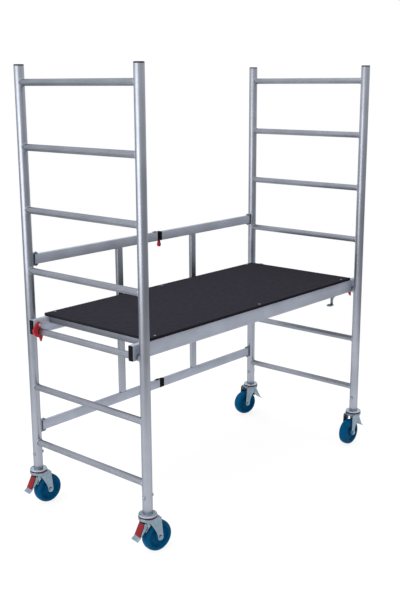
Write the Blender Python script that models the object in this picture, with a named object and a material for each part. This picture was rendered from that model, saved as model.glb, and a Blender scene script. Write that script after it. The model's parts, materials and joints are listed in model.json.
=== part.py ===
"""Small mobile work platform: two ladder frames on casters, a folding back gate and a hooked-in deck.

Metres, +Z up, floor at z = 0. X runs along the deck, the gate is on the +Y side.
"""
import math

import bmesh
import bpy

# Ladder frames
POST_SPACING_X = 1.4933
POST_SPACING_Y = 0.658
UPRIGHT_R = 0.020
UPRIGHT_WALL = 0.002
UPRIGHT_BOTTOM = 0.1635
UPRIGHT_TOP = 1.852
RUNG_R = 0.0137
RUNG_RIB = 0.0007
RUNG_FACETS = 24
RUNG_COUNT = 7
RUNG_PITCH = 0.250
LOWEST_RUNG = 0.2884
DECK_RUNG = LOWEST_RUNG + 2 * RUNG_PITCH
PLUG_HEAD = 0.005
PLUG_STEM = 0.016

# Clearances
SEAT_GAP = 0.0003
COPE_GAP = 0.0006
PIN_GAP = 0.0003

# Casters, in each caster's own frame: swivel axis at the origin, wheel trailing along +X
WHEEL_R = 0.0625
WHEEL_FACETS = 26
WHEEL_HALF_WIDTH = 0.0215
HUB_HALF_WIDTH = 0.0245
TRAIL = 0.040
AXLE_R = 0.006
AXLE_HEAD_R = 0.0095
AXLE_HEAD = 0.006
FORK_INNER = 0.0255
FORK_PLATE = 0.003
FORK_EYE_R = 0.0130
CROWN_R = 0.038
CROWN_TOP = 0.1565
CROWN_BOTTOM = 0.1420
KINGPIN_R = 0.006
KINGPIN_TOP = 0.185
FLANGE_R = 0.0368
FLANGE_BOTTOM = 0.1570
STEM_TOP = 0.250
PEDAL_PIVOT = (-0.016, 0.1345)
PEDAL_TOP = (-0.0240, 0.1365)
PEDAL_BEND = (-0.0525, 0.0820)
PEDAL_TIP = (-0.0650, 0.0725)
PEDAL_HALF_WIDTH = 0.0205
PEDAL_PLATE = 0.003
PEDAL_PIN_R = 0.003
PEDAL_BARREL_R = 0.0055
EAR_GAP_Y = 0.0007

# Which way each wheel trails, in degrees about +Z from +X
CASTERS = {
    "front_left": (-1, -1, -10.5),
    "back_left": (-1, 1, -6.0),
    "front_right": (1, -1, 180.0),
    "back_right": (1, 1, 166.0),
}

# Back gate
RAIL_HEIGHT = 0.042
RAIL_THICK = 0.015
TOP_RAIL_Z = 1.081
BOTTOM_RAIL_Z = 0.354
GATE_POST = 0.025
GATE_POST_LEFT_X = -0.2335
GATE_POST_RIGHT_X = 0.2675
HINGE_OFFSET = 0.039
HINGE_PIN_R = 0.004
RAIL_PAST_PIN = 0.009
EAR_R = 0.009
EAR_THICK = 0.004
EAR_GAP = 0.001
WEB_THICK = 0.004
KNUCKLE_X = 0.029
KNUCKLE_HALF = 0.0148
KNUCKLE_R = 0.0118
KNUCKLE_WEB = 0.0022
TONGUE_HALF = 0.010
KNUCKLE_PIN_R = 0.003
KNUCKLE_PIN_HEAD = 0.002
LATCH_PIN_R = 0.003
LATCH_PIN_SHORT = 0.003
KNOB_R = 0.0098
KNOB_LENGTH = 0.0295

# Deck; the board sits a little towards the right-hand frame
BOARD_LENGTH = 1.411
BOARD_SHIFT = 0.0105
BOARD_WIDTH = 0.610
BOARD_TOP = 0.852
BOARD_THICK = 0.012
BEAM_LENGTH = 1.554
BEAM_HEIGHT = 0.0605
BEAM_OUTER_Y = 0.299
BEAM_WIDTH = 0.022
BEAM_END_R = 0.004
CLAW_GAP = 0.0004
CROSS_WIDTH = 0.022
CROSS_HEIGHT = 0.025
LOCK_PIVOT = (0.004, 0.030)
LOCK_THICK = 0.008
LOCK_PIN_R = 0.004
LOCK_HEAD_R = 0.007
LOCK_HEAD = 0.002
FRONT_LOCK_SWING = 20.0
STOW_HOOK_X = 0.578
STOW_HOOK_DROP = 0.044
STOW_HOOK_FOOT = 0.0325
STOW_HOOK_TAB = 0.022
STOW_HOOK_PLATE = 0.004
STOW_HOOK_STRIP = 0.012
STOW_HOOK_WIDTH = 0.021

HALF_X = POST_SPACING_X / 2
HALF_Y = POST_SPACING_Y / 2
BEAM_TOP = BOARD_TOP - BOARD_THICK - SEAT_GAP
BEAM_BOTTOM = BEAM_TOP - BEAM_HEIGHT
BEAM_INNER_Y = BEAM_OUTER_Y - BEAM_WIDTH
GATE_PIN_X = HALF_X - HINGE_OFFSET

FINISHES = {
    "aluminium": ((0.62, 0.64, 0.67), 0.35, 1.0),
    "zinc": ((0.58, 0.60, 0.62), 0.30, 1.0),
    "black_plastic": ((0.02, 0.02, 0.022), 0.45, 0.0),
    "red_plastic": ((0.50, 0.015, 0.03), 0.40, 0.0),
    "blue_polyamide": ((0.0, 0.10, 0.24), 0.35, 0.0),
    "deck_ply": ((0.035, 0.033, 0.038), 0.60, 0.0),
}


def clear_scene():
    for obj in list(bpy.data.objects):
        bpy.data.objects.remove(obj, do_unlink=True)


def finish(name):
    """Return the named material, made on first use."""
    material = bpy.data.materials.get(name)
    if material:
        return material
    colour, roughness, metallic = FINISHES[name]
    material = bpy.data.materials.new(name)
    material.use_nodes = True
    shader = material.node_tree.nodes["Principled BSDF"]
    shader.inputs["Base Color"].default_value = (*colour, 1.0)
    shader.inputs["Roughness"].default_value = roughness
    shader.inputs["Metallic"].default_value = metallic
    return material


def group(name, location=(0.0, 0.0, 0.0), turn=0.0, parent=None):
    """An empty that carries the pieces of one body."""
    empty = bpy.data.objects.new(name, None)
    empty.location = location
    empty.rotation_euler = (0.0, 0.0, turn)
    empty.parent = parent
    bpy.context.scene.collection.objects.link(empty)
    return empty


def piece(name, mesh, material, parent=None, location=(0.0, 0.0, 0.0), turn=(0.0, 0.0, 0.0)):
    """One named solid, shaded smooth across its shallow edges."""
    if isinstance(mesh, bmesh.types.BMesh):
        mesh = to_mesh(name, mesh)
    obj = bpy.data.objects.new(name, mesh)
    obj.location = location
    obj.rotation_euler = turn
    obj.parent = parent
    if not mesh.materials:
        mesh.materials.append(finish(material))
    bpy.context.scene.collection.objects.link(obj)
    return obj


def to_mesh(name, bm):
    bmesh.ops.recalc_face_normals(bm, faces=bm.faces[:])
    mesh = bpy.data.meshes.new(name)
    bm.to_mesh(mesh)
    bm.free()
    mesh.shade_smooth()
    mesh.set_sharp_from_angle(angle=math.radians(32))
    return mesh


def prism(outline, low, high, axis="Z"):
    """Extrude a closed outline along an axis; the outline holds the other two coordinates in XYZ order."""
    bm = bmesh.new()

    def point(pair, along):
        a, b = pair
        return {"X": (along, a, b), "Y": (a, along, b), "Z": (a, b, along)}[axis]

    lower = [bm.verts.new(point(pair, low)) for pair in outline]
    upper = [bm.verts.new(point(pair, high)) for pair in outline]
    bm.faces.new(lower)
    bm.faces.new(upper)
    for i in range(len(outline)):
        j = (i + 1) % len(outline)
        bm.faces.new((lower[i], lower[j], upper[j], upper[i]))
    return bm


def box(low, high, bevel=0.0):
    x0, y0, z0 = low
    x1, y1, z1 = high
    bm = prism([(x0, y0), (x1, y0), (x1, y1), (x0, y1)], z0, z1)
    if bevel:
        bmesh.ops.bevel(bm, geom=bm.edges[:], offset=bevel, segments=1, affect="EDGES")
    return bm


def turned(profile, sides, axis="Z", centre=(0.0, 0.0, 0.0), phase=0.0):
    """Revolve a profile of (radius, along) points; a closed profile with no zero radius leaves a bore."""
    bm = bmesh.new()
    rings = []
    for radius, along in profile:
        count = sides if radius > 0 else 1
        ring = []
        for k in range(count):
            angle = 2 * math.pi * (k + phase) / sides
            a, b = radius * math.cos(angle), radius * math.sin(angle)
            spot = {"X": (along, a, b), "Y": (a, along, b), "Z": (a, b, along)}[axis]
            ring.append(bm.verts.new([c + s for c, s in zip(centre, spot)]))
        rings.append(ring)
    pairs = list(zip(rings, rings[1:]))
    if len(rings[0]) > 1:
        pairs.append((rings[-1], rings[0]))
    for ring, following in pairs:
        for k in range(sides):
            corners = [ring[k % len(ring)], ring[(k + 1) % len(ring)],
                       following[(k + 1) % len(following)], following[k % len(following)]]
            distinct = list(dict.fromkeys(corners))
            if len(distinct) > 2:
                bm.faces.new(distinct)
    return bm


def rod(radius, low, high, axis="Z", centre=(0.0, 0.0, 0.0), sides=16):
    return turned([(0.0, high), (radius, high), (radius, low), (0.0, low)], sides, axis, centre)


def arc(centre, radius, start, end, steps):
    """Points along an arc, with angles in degrees."""
    angles = [math.radians(start + (end - start) * i / steps) for i in range(steps + 1)]
    return [(centre[0] + radius * math.cos(a), centre[1] + radius * math.sin(a)) for a in angles]


def bent(start, control, end, steps):
    """Points along a quadratic curve."""
    points = []
    for i in range(steps + 1):
        t = i / steps
        weights = ((1 - t) ** 2, 2 * t * (1 - t), t * t)
        points.append(tuple(sum(w * p[k] for w, p in zip(weights, (start, control, end))) for k in (0, 1)))
    return points


def solid(name, first, *steps):
    """Apply ("UNION" or "DIFFERENCE", shape) steps to a first shape and return the finished mesh."""
    body = piece(name + "_body", first, "aluminium")
    tools = []
    for operation, shape in steps:
        tool = piece(name + "_tool", shape, "aluminium")
        tools.append(tool)
        cut = body.modifiers.new(operation.lower(), "BOOLEAN")
        cut.operation = operation
        cut.object = tool
    graph = bpy.context.evaluated_depsgraph_get()
    graph.update()
    mesh = bpy.data.meshes.new_from_object(body.evaluated_get(graph))
    mesh.materials.clear()
    mesh.shade_smooth()
    mesh.set_sharp_from_angle(angle=math.radians(32))
    for obj in (body, *tools):
        bpy.data.objects.remove(obj, do_unlink=True)
    return mesh


def upright_mesh():
    inner = UPRIGHT_R - UPRIGHT_WALL
    profile = [(UPRIGHT_R, UPRIGHT_TOP), (UPRIGHT_R, UPRIGHT_BOTTOM),
               (inner, UPRIGHT_BOTTOM), (inner, UPRIGHT_TOP)]
    return to_mesh("upright", turned(profile, 24))


def rung_mesh():
    """A ribbed tube along Y whose ends are coped to the round uprights."""
    bm = bmesh.new()
    ends = ([], [])
    for k in range(RUNG_FACETS):
        angle = 2 * math.pi * k / RUNG_FACETS
        radius = RUNG_R - RUNG_RIB * (k % 2)
        x, z = radius * math.cos(angle), radius * math.sin(angle)
        reach = HALF_Y - math.sqrt((UPRIGHT_R + COPE_GAP) ** 2 - x * x)
        for end, side in zip(ends, (-1, 1)):
            end.append(bm.verts.new((x, side * reach, z)))
    count = RUNG_FACETS
    for k in range(count):
        n = (k + 1) % count
        bm.faces.new((ends[0][k], ends[0][n], ends[1][n], ends[1][k]))
    for end in ends:
        for k in range(count // 2):
            strip = [end[k], end[k + 1], end[-k - 1], end[-k]]
            bm.faces.new(list(dict.fromkeys(strip)))
    return to_mesh("rung", bm)


def plug_mesh():
    stem = UPRIGHT_R - UPRIGHT_WALL - SEAT_GAP
    base = UPRIGHT_TOP + SEAT_GAP
    head = UPRIGHT_R - 0.0003
    top = base + PLUG_HEAD
    profile = [(0.0, top), (head - 0.003, top), (head, top - 0.002), (head, base), (stem, base),
               (stem, base - PLUG_STEM), (0.0, base - PLUG_STEM)]
    return to_mesh("top_plug", turned(profile, 20))


def socket_mesh():
    """Caster stem in the foot of the upright, with its dished flange and the blind bore for the kingpin."""
    stem = UPRIGHT_R - UPRIGHT_WALL - SEAT_GAP
    seat = UPRIGHT_BOTTOM - SEAT_GAP
    bore = KINGPIN_R + PIN_GAP
    bore_top = KINGPIN_TOP + 0.0005
    profile = [(0.0, STEM_TOP), (stem, STEM_TOP), (stem, seat), (0.0255, seat), (0.0345, seat + 0.0018),
               (FLANGE_R, seat + 0.0010), (FLANGE_R, seat - 0.0020), (0.031, seat - 0.0030),
               (0.028, FLANGE_BOTTOM), (bore, FLANGE_BOTTOM), (bore, bore_top), (0.0, bore_top)]
    return to_mesh("caster_socket", turned(profile, 18))


def fork_leg(side):
    eye = (TRAIL, WHEEL_R)
    outline = [(-0.024, 0.150), (0.036, 0.1535), (0.0455, 0.1465)]
    outline += arc(eye, FORK_EYE_R, 5, -170, 6)
    outline += bent((0.0268, 0.068), (0.020, 0.098), (-0.0103, 0.137), 5)
    outline.append((-0.024, 0.1425))
    inner = side * FORK_INNER
    outer = side * (FORK_INNER + FORK_PLATE)
    return prism(outline, min(inner, outer), max(inner, outer), "Y")


def fork_mesh():
    """Kingpin and crown, two curved legs, the axle with its heads, and the ears with the pedal's pin."""
    outside = FORK_INNER + FORK_PLATE
    axle_centre = (TRAIL, 0.0, WHEEL_R)
    crown = turned([(0.0, KINGPIN_TOP), (KINGPIN_R, KINGPIN_TOP), (KINGPIN_R, CROWN_TOP), (0.030, CROWN_TOP),
                    (CROWN_R - 0.001, CROWN_TOP - 0.002), (CROWN_R, CROWN_TOP - 0.004),
                    (CROWN_R - 0.001, CROWN_BOTTOM + 0.002), (CROWN_R - 0.005, CROWN_BOTTOM),
                    (0.0, CROWN_BOTTOM)], 20)
    steps = [("UNION", box((0.0, -outside, 0.1490), (TRAIL, outside, 0.1525)))]
    ear_inner = PEDAL_HALF_WIDTH + EAR_GAP_Y
    for side in (-1, 1):
        steps.append(("UNION", fork_leg(side)))
        head = sorted((side * (outside - 0.0005), side * (outside + AXLE_HEAD)))
        steps.append(("UNION", rod(AXLE_HEAD_R, *head, "Y", axle_centre, 6)))
        ear_u, ear_z = PEDAL_PIVOT
        ear = arc((ear_u, ear_z), PEDAL_BARREL_R, 180, 360, 6)
        ear += [(ear_u + PEDAL_BARREL_R, CROWN_BOTTOM + 0.001), (ear_u - PEDAL_BARREL_R, CROWN_BOTTOM + 0.001)]
        faces = sorted((side * ear_inner, side * (FORK_INNER + 0.0005)))
        steps.append(("UNION", prism(ear, *faces, "Y")))
    steps.append(("UNION", rod(AXLE_R, -outside, outside, "Y", axle_centre, 12)))
    pin_reach = ear_inner + 0.002
    pin_centre = (PEDAL_PIVOT[0], 0.0, PEDAL_PIVOT[1])
    steps.append(("UNION", rod(PEDAL_PIN_R, -pin_reach, pin_reach, "Y", pin_centre, 10)))
    return solid("fork", crown, *steps)


def wheel_mesh():
    """Moulded wheel about the Y axis; the tread has a flat centre band with one facet on the floor."""
    rim = WHEEL_R / math.cos(math.pi / WHEEL_FACETS)
    half = [(AXLE_R + PIN_GAP + 0.0002, HUB_HALF_WIDTH), (0.0145, HUB_HALF_WIDTH), (0.0165, 0.0190),
            (0.0420, 0.0190), (0.0460, WHEEL_HALF_WIDTH), (0.0545, 0.0200), (0.0608, 0.0130), (rim, 0.0070)]
    profile = half + [(radius, -along) for radius, along in reversed(half)]
    return to_mesh("wheel", turned(profile, WHEEL_FACETS, "Y"))


def pedal_mesh():
    """Bent foot lever with a bored barrel at its pivot and two side cheeks, about the pivot."""
    def local(point):
        return (point[0] - PEDAL_PIVOT[0], point[1] - PEDAL_PIVOT[1])

    top, bend, tip = local(PEDAL_TOP), local(PEDAL_BEND), local(PEDAL_TIP)
    length = math.hypot(bend[0] - top[0], bend[1] - top[1])
    back = ((top[1] - bend[1]) / length * PEDAL_PLATE, (bend[0] - top[0]) / length * PEDAL_PLATE)
    inner_top = (top[0] + back[0], top[1] + back[1])
    inner_bend = (bend[0] + back[0], bend[1] + back[1] - 0.0008)
    outline = [top, bend, tip, (tip[0] + 0.0012, tip[1] - PEDAL_PLATE), inner_bend, inner_top]
    cheek = [(0.0, PEDAL_BARREL_R * 0.7), (PEDAL_BARREL_R * 0.7, 0.0), (0.001, -0.013), (-0.012, -0.029),
             (bend[0] + 0.005, bend[1] + 0.003), (bend[0] + 0.0015, bend[1] + 0.003), (top[0] + 0.001, top[1])]
    width = PEDAL_HALF_WIDTH
    steps = [("UNION", rod(PEDAL_BARREL_R, -width, width, "Y", sides=12))]
    for side in (-1, 1):
        faces = sorted((side * width, side * (width - 0.0025)))
        steps.append(("UNION", prism(cheek, *faces, "Y")))
    steps.append(("DIFFERENCE", rod(PEDAL_PIN_R + PIN_GAP, -0.03, 0.03, "Y", sides=10)))
    return solid("pedal", prism(outline, -width, width, "Y"), *steps)


def build_frames(root):
    upright = upright_mesh()
    plug = plug_mesh()
    rung = rung_mesh()
    for corner, (side_x, side_y, _) in CASTERS.items():
        place = (side_x * HALF_X, side_y * HALF_Y, 0.0)
        piece("upright_" + corner, upright, "aluminium", root, place)
        piece("top_plug_" + corner, plug, "black_plastic", root, place)
    for side, name in ((-1, "left"), (1, "right")):
        for k in range(RUNG_COUNT):
            place = (side * HALF_X, 0.0, LOWEST_RUNG + k * RUNG_PITCH)
            piece(f"rung_{name}_{k + 1}", rung, "aluminium", root, place)


def build_casters(root):
    socket = socket_mesh()
    fork = fork_mesh()
    wheel = wheel_mesh()
    pedal = pedal_mesh()
    for corner, (side_x, side_y, heading) in CASTERS.items():
        place = (side_x * HALF_X, side_y * HALF_Y, 0.0)
        piece("caster_socket_" + corner, socket, "zinc", root, place)
        swivel = group("caster_" + corner, place, math.radians(heading), root)
        piece("caster_fork_" + corner, fork, "zinc", swivel)
        piece("caster_wheel_" + corner, wheel, "blue_polyamide", swivel, (TRAIL, 0.0, WHEEL_R))
        pivot = (PEDAL_PIVOT[0], 0.0, PEDAL_PIVOT[1])
        piece("brake_pedal_" + corner, pedal, "zinc", swivel, pivot)


def bracket_mesh(open_side):
    """Hinge clevis on the upright, reaching along +X; open_side leaves the pin's seats open at the nose."""
    seat_r = UPRIGHT_R + SEAT_GAP
    spread = math.degrees(math.asin(EAR_R / seat_r))
    outline = arc((0.0, 0.0), seat_r, spread, -spread, 6)
    outline += arc((HINGE_OFFSET, 0.0), EAR_R, -90, 90, 10)
    inner = RAIL_HEIGHT / 2 + EAR_GAP
    outer = inner + EAR_THICK
    web = UPRIGHT_R + WEB_THICK
    bore_r = HINGE_PIN_R + PIN_GAP
    steps = [("DIFFERENCE", box((web, -0.03, -inner), (0.08, 0.03, inner))),
             ("DIFFERENCE", rod(bore_r, -0.05, 0.05, "Z", (HINGE_OFFSET, 0.0, 0.0), 16))]
    if open_side:
        steps.append(("DIFFERENCE", box((HINGE_OFFSET, -bore_r, -0.05), (0.08, bore_r, 0.05))))
    return solid("hinge_bracket", prism(outline, -outer, outer), *steps)


def rail_mesh(start, end, pin_x):
    """Gate rail from start to end along X, with the vertical hinge pin fixed in its outer end."""
    half_z, half_y = RAIL_HEIGHT / 2, RAIL_THICK / 2
    pin = half_z + EAR_GAP + EAR_THICK + 0.004
    bar = box((start, -half_y, -half_z), (end, half_y, half_z), 0.0015)
    return solid("gate_rail", bar, ("UNION", rod(HINGE_PIN_R, -pin, pin, "Z", (pin_x, 0.0, 0.0), 12)))


def knuckle_outline(start):
    """Plan outline from a rail end at start to a nose rounded about the hinge pin."""
    half_y = RAIL_THICK / 2
    corner = math.degrees(math.asin(half_y / KNUCKLE_R))
    return [(start, half_y), (start, -half_y)] + arc((0.0, 0.0), KNUCKLE_R, -corner, corner, 6)


def fork_knuckle_mesh(with_latch):
    """Black hinge end with two lugs and the hinge pin, at the inner end of a left-hand rail.

    With the latch the pin ends in the tongue and the lower lug is bored for the latch pin instead.
    """
    half_z = RAIL_HEIGHT / 2
    start = -KNUCKLE_HALF + SEAT_GAP
    slot_z = TONGUE_HALF + PIN_GAP
    reach = half_z + KNUCKLE_PIN_HEAD
    steps = [("DIFFERENCE", box((start + KNUCKLE_WEB, -0.02, -slot_z), (0.03, 0.02, slot_z)))]
    pin_end = -half_z
    heads = [(half_z - 0.001, reach)]
    if with_latch:
        steps.append(("DIFFERENCE", rod(LATCH_PIN_R + PIN_GAP, -0.04, -slot_z + 0.001, sides=12)))
        pin_end = -TONGUE_HALF
    else:
        heads.append((-reach, -half_z + 0.001))
    steps.append(("UNION", rod(KNUCKLE_PIN_R, pin_end, half_z, sides=12)))
    for low, high in heads:
        steps.append(("UNION", rod(KNUCKLE_PIN_R + 0.0015, low, high, sides=12)))
    return solid("fork_knuckle", prism(knuckle_outline(start), -half_z, half_z), *steps)


def tongue_knuckle_mesh():
    """Black hinge end with one tongue, at the inner end of a right-hand rail, reaching along -X."""
    half_z = RAIL_HEIGHT / 2
    start = -KNUCKLE_HALF + SEAT_GAP
    cuts = []
    for low, high in ((TONGUE_HALF, 0.03), (-0.03, -TONGUE_HALF)):
        cuts.append(("DIFFERENCE", box((start + KNUCKLE_WEB, -0.02, low), (0.03, 0.02, high))))
    cuts.append(("DIFFERENCE", rod(KNUCKLE_PIN_R + PIN_GAP, -0.03, 0.03, sides=12)))
    return solid("tongue_knuckle", prism(knuckle_outline(start), -half_z, half_z), *cuts)


def knob_mesh():
    """Red pull knob hanging under the top hinge, with its latch pin, along -Z from the rail's underside."""
    top = -RAIL_HEIGHT / 2 - SEAT_GAP
    pin_top = -TONGUE_HALF - LATCH_PIN_SHORT
    profile = [(0.0, pin_top), (LATCH_PIN_R, pin_top), (LATCH_PIN_R, top), (0.0060, top),
               (0.0078, top - 0.005), (KNOB_R - 0.0005, top - 0.012), (KNOB_R, top - 0.018),
               (KNOB_R - 0.002, top - 0.025), (0.004, top - KNOB_LENGTH + 0.0006), (0.0, top - KNOB_LENGTH)]
    return to_mesh("latch_knob", turned(profile, 20))


def build_gate(root):
    half_post = GATE_POST / 2
    left_span = GATE_PIN_X + KNUCKLE_X
    right_span = GATE_PIN_X - KNUCKLE_X
    left = group("gate_left_half", (-GATE_PIN_X, HALF_Y, 0.0), 0.0, root)
    right = group("gate_right_half", (left_span, 0.0, 0.0), 0.0, left)
    left_rail = rail_mesh(-RAIL_PAST_PIN, left_span - KNUCKLE_HALF, 0.0)
    right_rail = rail_mesh(KNUCKLE_HALF, right_span + RAIL_PAST_PIN, right_span)
    tongue = tongue_knuckle_mesh()
    closed = bracket_mesh(False)
    opened = bracket_mesh(True)
    turn_back = (0.0, 0.0, math.pi)
    for level, z in (("top", TOP_RAIL_Z), ("bottom", BOTTOM_RAIL_Z)):
        piece(f"hinge_bracket_left_{level}", closed, "aluminium", root, (-HALF_X, HALF_Y, z))
        piece(f"hinge_bracket_right_{level}", opened, "aluminium", root, (HALF_X, HALF_Y, z), turn_back)
        piece(f"gate_rail_left_{level}", left_rail, "aluminium", left, (0.0, 0.0, z))
        piece(f"gate_rail_right_{level}", right_rail, "aluminium", right, (0.0, 0.0, z))
        fork = fork_knuckle_mesh(level == "top")
        piece(f"hinge_fork_{level}", fork, "black_plastic", left, (left_span, 0.0, z))
        piece(f"hinge_tongue_{level}", tongue, "black_plastic", right, (0.0, 0.0, z), turn_back)
    low = BOTTOM_RAIL_Z + RAIL_HEIGHT / 2 + SEAT_GAP
    high = TOP_RAIL_Z - RAIL_HEIGHT / 2 - SEAT_GAP
    post = to_mesh("gate_post", box((-half_post, -half_post, low), (half_post, half_post, high), 0.0015))
    piece("gate_post_left", post, "aluminium", left, (GATE_PIN_X + GATE_POST_LEFT_X, 0.0, 0.0))
    piece("gate_post_right", post, "aluminium", right, (GATE_POST_RIGHT_X - KNUCKLE_X, 0.0, 0.0))
    piece("latch_knob", knob_mesh(), "red_plastic", left, (left_span, 0.0, TOP_RAIL_Z))


def beam_outline():
    """Side outline of a deck beam in X and Z: rounded ends and a rung notch from below near each end."""
    half = BEAM_LENGTH / 2
    notch_r = RUNG_R + CLAW_GAP
    points = []
    for side in (1, -1):
        run = arc((half - BEAM_END_R, BEAM_TOP - BEAM_END_R), BEAM_END_R, 90, 0, 3)
        run += arc((half - BEAM_END_R, BEAM_BOTTOM + BEAM_END_R), BEAM_END_R, 0, -90, 3)
        run.append((HALF_X + notch_r, BEAM_BOTTOM))
        run += arc((HALF_X, DECK_RUNG), notch_r, 0, 180, 12)
        run.append((HALF_X - notch_r, BEAM_BOTTOM))
        if side < 0:
            run = [(-x, z) for x, z in reversed(run)]
        points += run
    return points


def lock_stud(side_y, side_x):
    """Headed stud on a beam's inner face that carries the swinging lock."""
    face = side_y * BEAM_INNER_Y
    x = side_x * (HALF_X + LOCK_PIVOT[0])
    z = DECK_RUNG + LOCK_PIVOT[1]
    inward = -side_y
    neck = sorted((face - inward * 0.001, face + inward * (LOCK_THICK + 3 * SEAT_GAP)))
    head_start = LOCK_THICK + 2 * SEAT_GAP
    head = sorted((face + inward * head_start, face + inward * (head_start + LOCK_HEAD)))
    return (rod(LOCK_PIN_R, *neck, "Y", (x, 0.0, z), 12), rod(LOCK_HEAD_R, *head, "Y", (x, 0.0, z), 16))


def stow_hook():
    """Bent strip under the front beam: a fixing tab, a narrow leg down and a wide foot towards the middle."""
    plate = STOW_HOOK_PLATE
    top = BEAM_BOTTOM + 0.0005
    low = top - STOW_HOOK_DROP
    x = STOW_HOOK_X
    middle = -(BEAM_OUTER_Y + BEAM_INNER_Y) / 2
    strip = [(x, top), (x, low + 0.001), (x + plate, low + 0.001), (x + plate, top - 3 * plate),
             (x + 2 * plate, top - plate), (x + STOW_HOOK_TAB, top - plate), (x + STOW_HOOK_TAB, top)]
    leg = prism(strip, middle - STOW_HOOK_STRIP / 2, middle + STOW_HOOK_STRIP / 2, "Y")
    foot = box((x - STOW_HOOK_FOOT, middle - STOW_HOOK_WIDTH / 2, low),
               (x + plate, middle + STOW_HOOK_WIDTH / 2, low + plate))
    return leg, foot


def lock_mesh():
    """Red swinging lock about its pivot: an outer body, a jaw under the rung and a pointed tail.

    The outline is in X, pointing outwards along the deck, and Z, both from the rung's centre.
    """
    outline = [(0.007, 0.043), (-0.007, 0.034)]
    outline += arc((0.0, 0.0), RUNG_R + 0.0008, 85, -100, 12)
    outline += [(-0.009, -0.0165), (-0.0104, -0.020), (-0.002, -0.0425), (0.0005, -0.0425), (0.007, -0.024)]
    outline += bent((0.014, -0.0225), (0.034, -0.0170), (0.0385, 0.006), 4)
    outline += bent((0.038, 0.011), (0.027, 0.026), (0.010, 0.042), 3)
    shifted = [(x - LOCK_PIVOT[0], z - LOCK_PIVOT[1]) for x, z in outline]
    plate = prism(shifted, -LOCK_THICK / 2, LOCK_THICK / 2, "Y")
    return solid("deck_lock", plate, ("DIFFERENCE", rod(LOCK_PIN_R + PIN_GAP, -0.02, 0.02, "Y", sides=12)))


def build_deck(root):
    deck = group("deck", parent=root)
    half_x, half_y = BOARD_LENGTH / 2, BOARD_WIDTH / 2
    board = box((BOARD_SHIFT - half_x, -half_y, BOARD_TOP - BOARD_THICK),
                (BOARD_SHIFT + half_x, half_y, BOARD_TOP), 0.001)
    piece("deck_board", board, "deck_ply", deck)
    outline = beam_outline()
    for side_y, name, lock_end in ((-1, "front", 1), (1, "back", -1)):
        faces = sorted((side_y * BEAM_INNER_Y, side_y * BEAM_OUTER_Y))
        added = lock_stud(side_y, lock_end)
        if name == "front":
            added += stow_hook()
        steps = [("UNION", shape) for shape in added]
        beam = solid("deck_beam", prism(outline, *faces, "Y"), *steps)
        piece("deck_beam_" + name, beam, "aluminium", deck)
    reach = BEAM_INNER_Y - SEAT_GAP
    for side, name in ((-1, "left"), (1, "right")):
        outer = BOARD_SHIFT + side * (half_x - 0.002)
        ends = sorted((outer, outer - side * CROSS_WIDTH))
        bar = box((ends[0], -reach, BEAM_TOP - CROSS_HEIGHT), (ends[1], reach, BEAM_TOP), 0.001)
        piece("deck_cross_member_" + name, bar, "aluminium", deck)
    lock = lock_mesh()
    middle_y = BEAM_INNER_Y - SEAT_GAP - LOCK_THICK / 2
    pivot_x = HALF_X + LOCK_PIVOT[0]
    pivot_z = DECK_RUNG + LOCK_PIVOT[1]
    swing = math.radians(FRONT_LOCK_SWING)
    piece("deck_lock_back", lock, "red_plastic", deck, (-pivot_x, middle_y, pivot_z), (0.0, 0.0, math.pi))
    piece("deck_lock_front", lock, "red_plastic", deck, (pivot_x, -middle_y, pivot_z), (0.0, -swing, 0.0))


def main():
    clear_scene()
    root = group("work_platform")
    build_frames(root)
    build_casters(root)
    build_gate(root)
    build_deck(root)


main()
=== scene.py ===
"""Looks of a small mobile work platform, built round its packed solids."""
import json
import math

import bmesh
import bpy
from bpy.props import FloatProperty, FloatVectorProperty, IntProperty, PointerProperty
from mathutils import Matrix, Vector


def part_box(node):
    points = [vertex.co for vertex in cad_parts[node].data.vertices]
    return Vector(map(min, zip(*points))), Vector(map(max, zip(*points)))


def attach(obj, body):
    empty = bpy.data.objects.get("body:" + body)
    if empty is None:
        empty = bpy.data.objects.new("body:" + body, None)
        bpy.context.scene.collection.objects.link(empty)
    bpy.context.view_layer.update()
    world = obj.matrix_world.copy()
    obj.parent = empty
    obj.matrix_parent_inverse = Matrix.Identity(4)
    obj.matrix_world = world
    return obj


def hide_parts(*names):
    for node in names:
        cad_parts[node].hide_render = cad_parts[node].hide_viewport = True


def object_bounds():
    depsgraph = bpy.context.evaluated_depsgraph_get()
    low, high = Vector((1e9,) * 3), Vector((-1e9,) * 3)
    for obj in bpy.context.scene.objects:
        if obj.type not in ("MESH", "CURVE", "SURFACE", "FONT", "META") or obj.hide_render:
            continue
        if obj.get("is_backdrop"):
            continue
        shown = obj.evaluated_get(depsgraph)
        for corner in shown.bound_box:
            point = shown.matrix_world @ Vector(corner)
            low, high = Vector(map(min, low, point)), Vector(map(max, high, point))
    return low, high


bl_info = {
    "name": "Mobile Work Platform Looks",
    "version": (1, 0, 0),
    "blender": (4, 5, 0),
    "location": "View3D > Sidebar > Platform",
    "description": "Dresses the solids of a mobile work platform with finished pieces and materials",
    "category": "Object",
}

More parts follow.
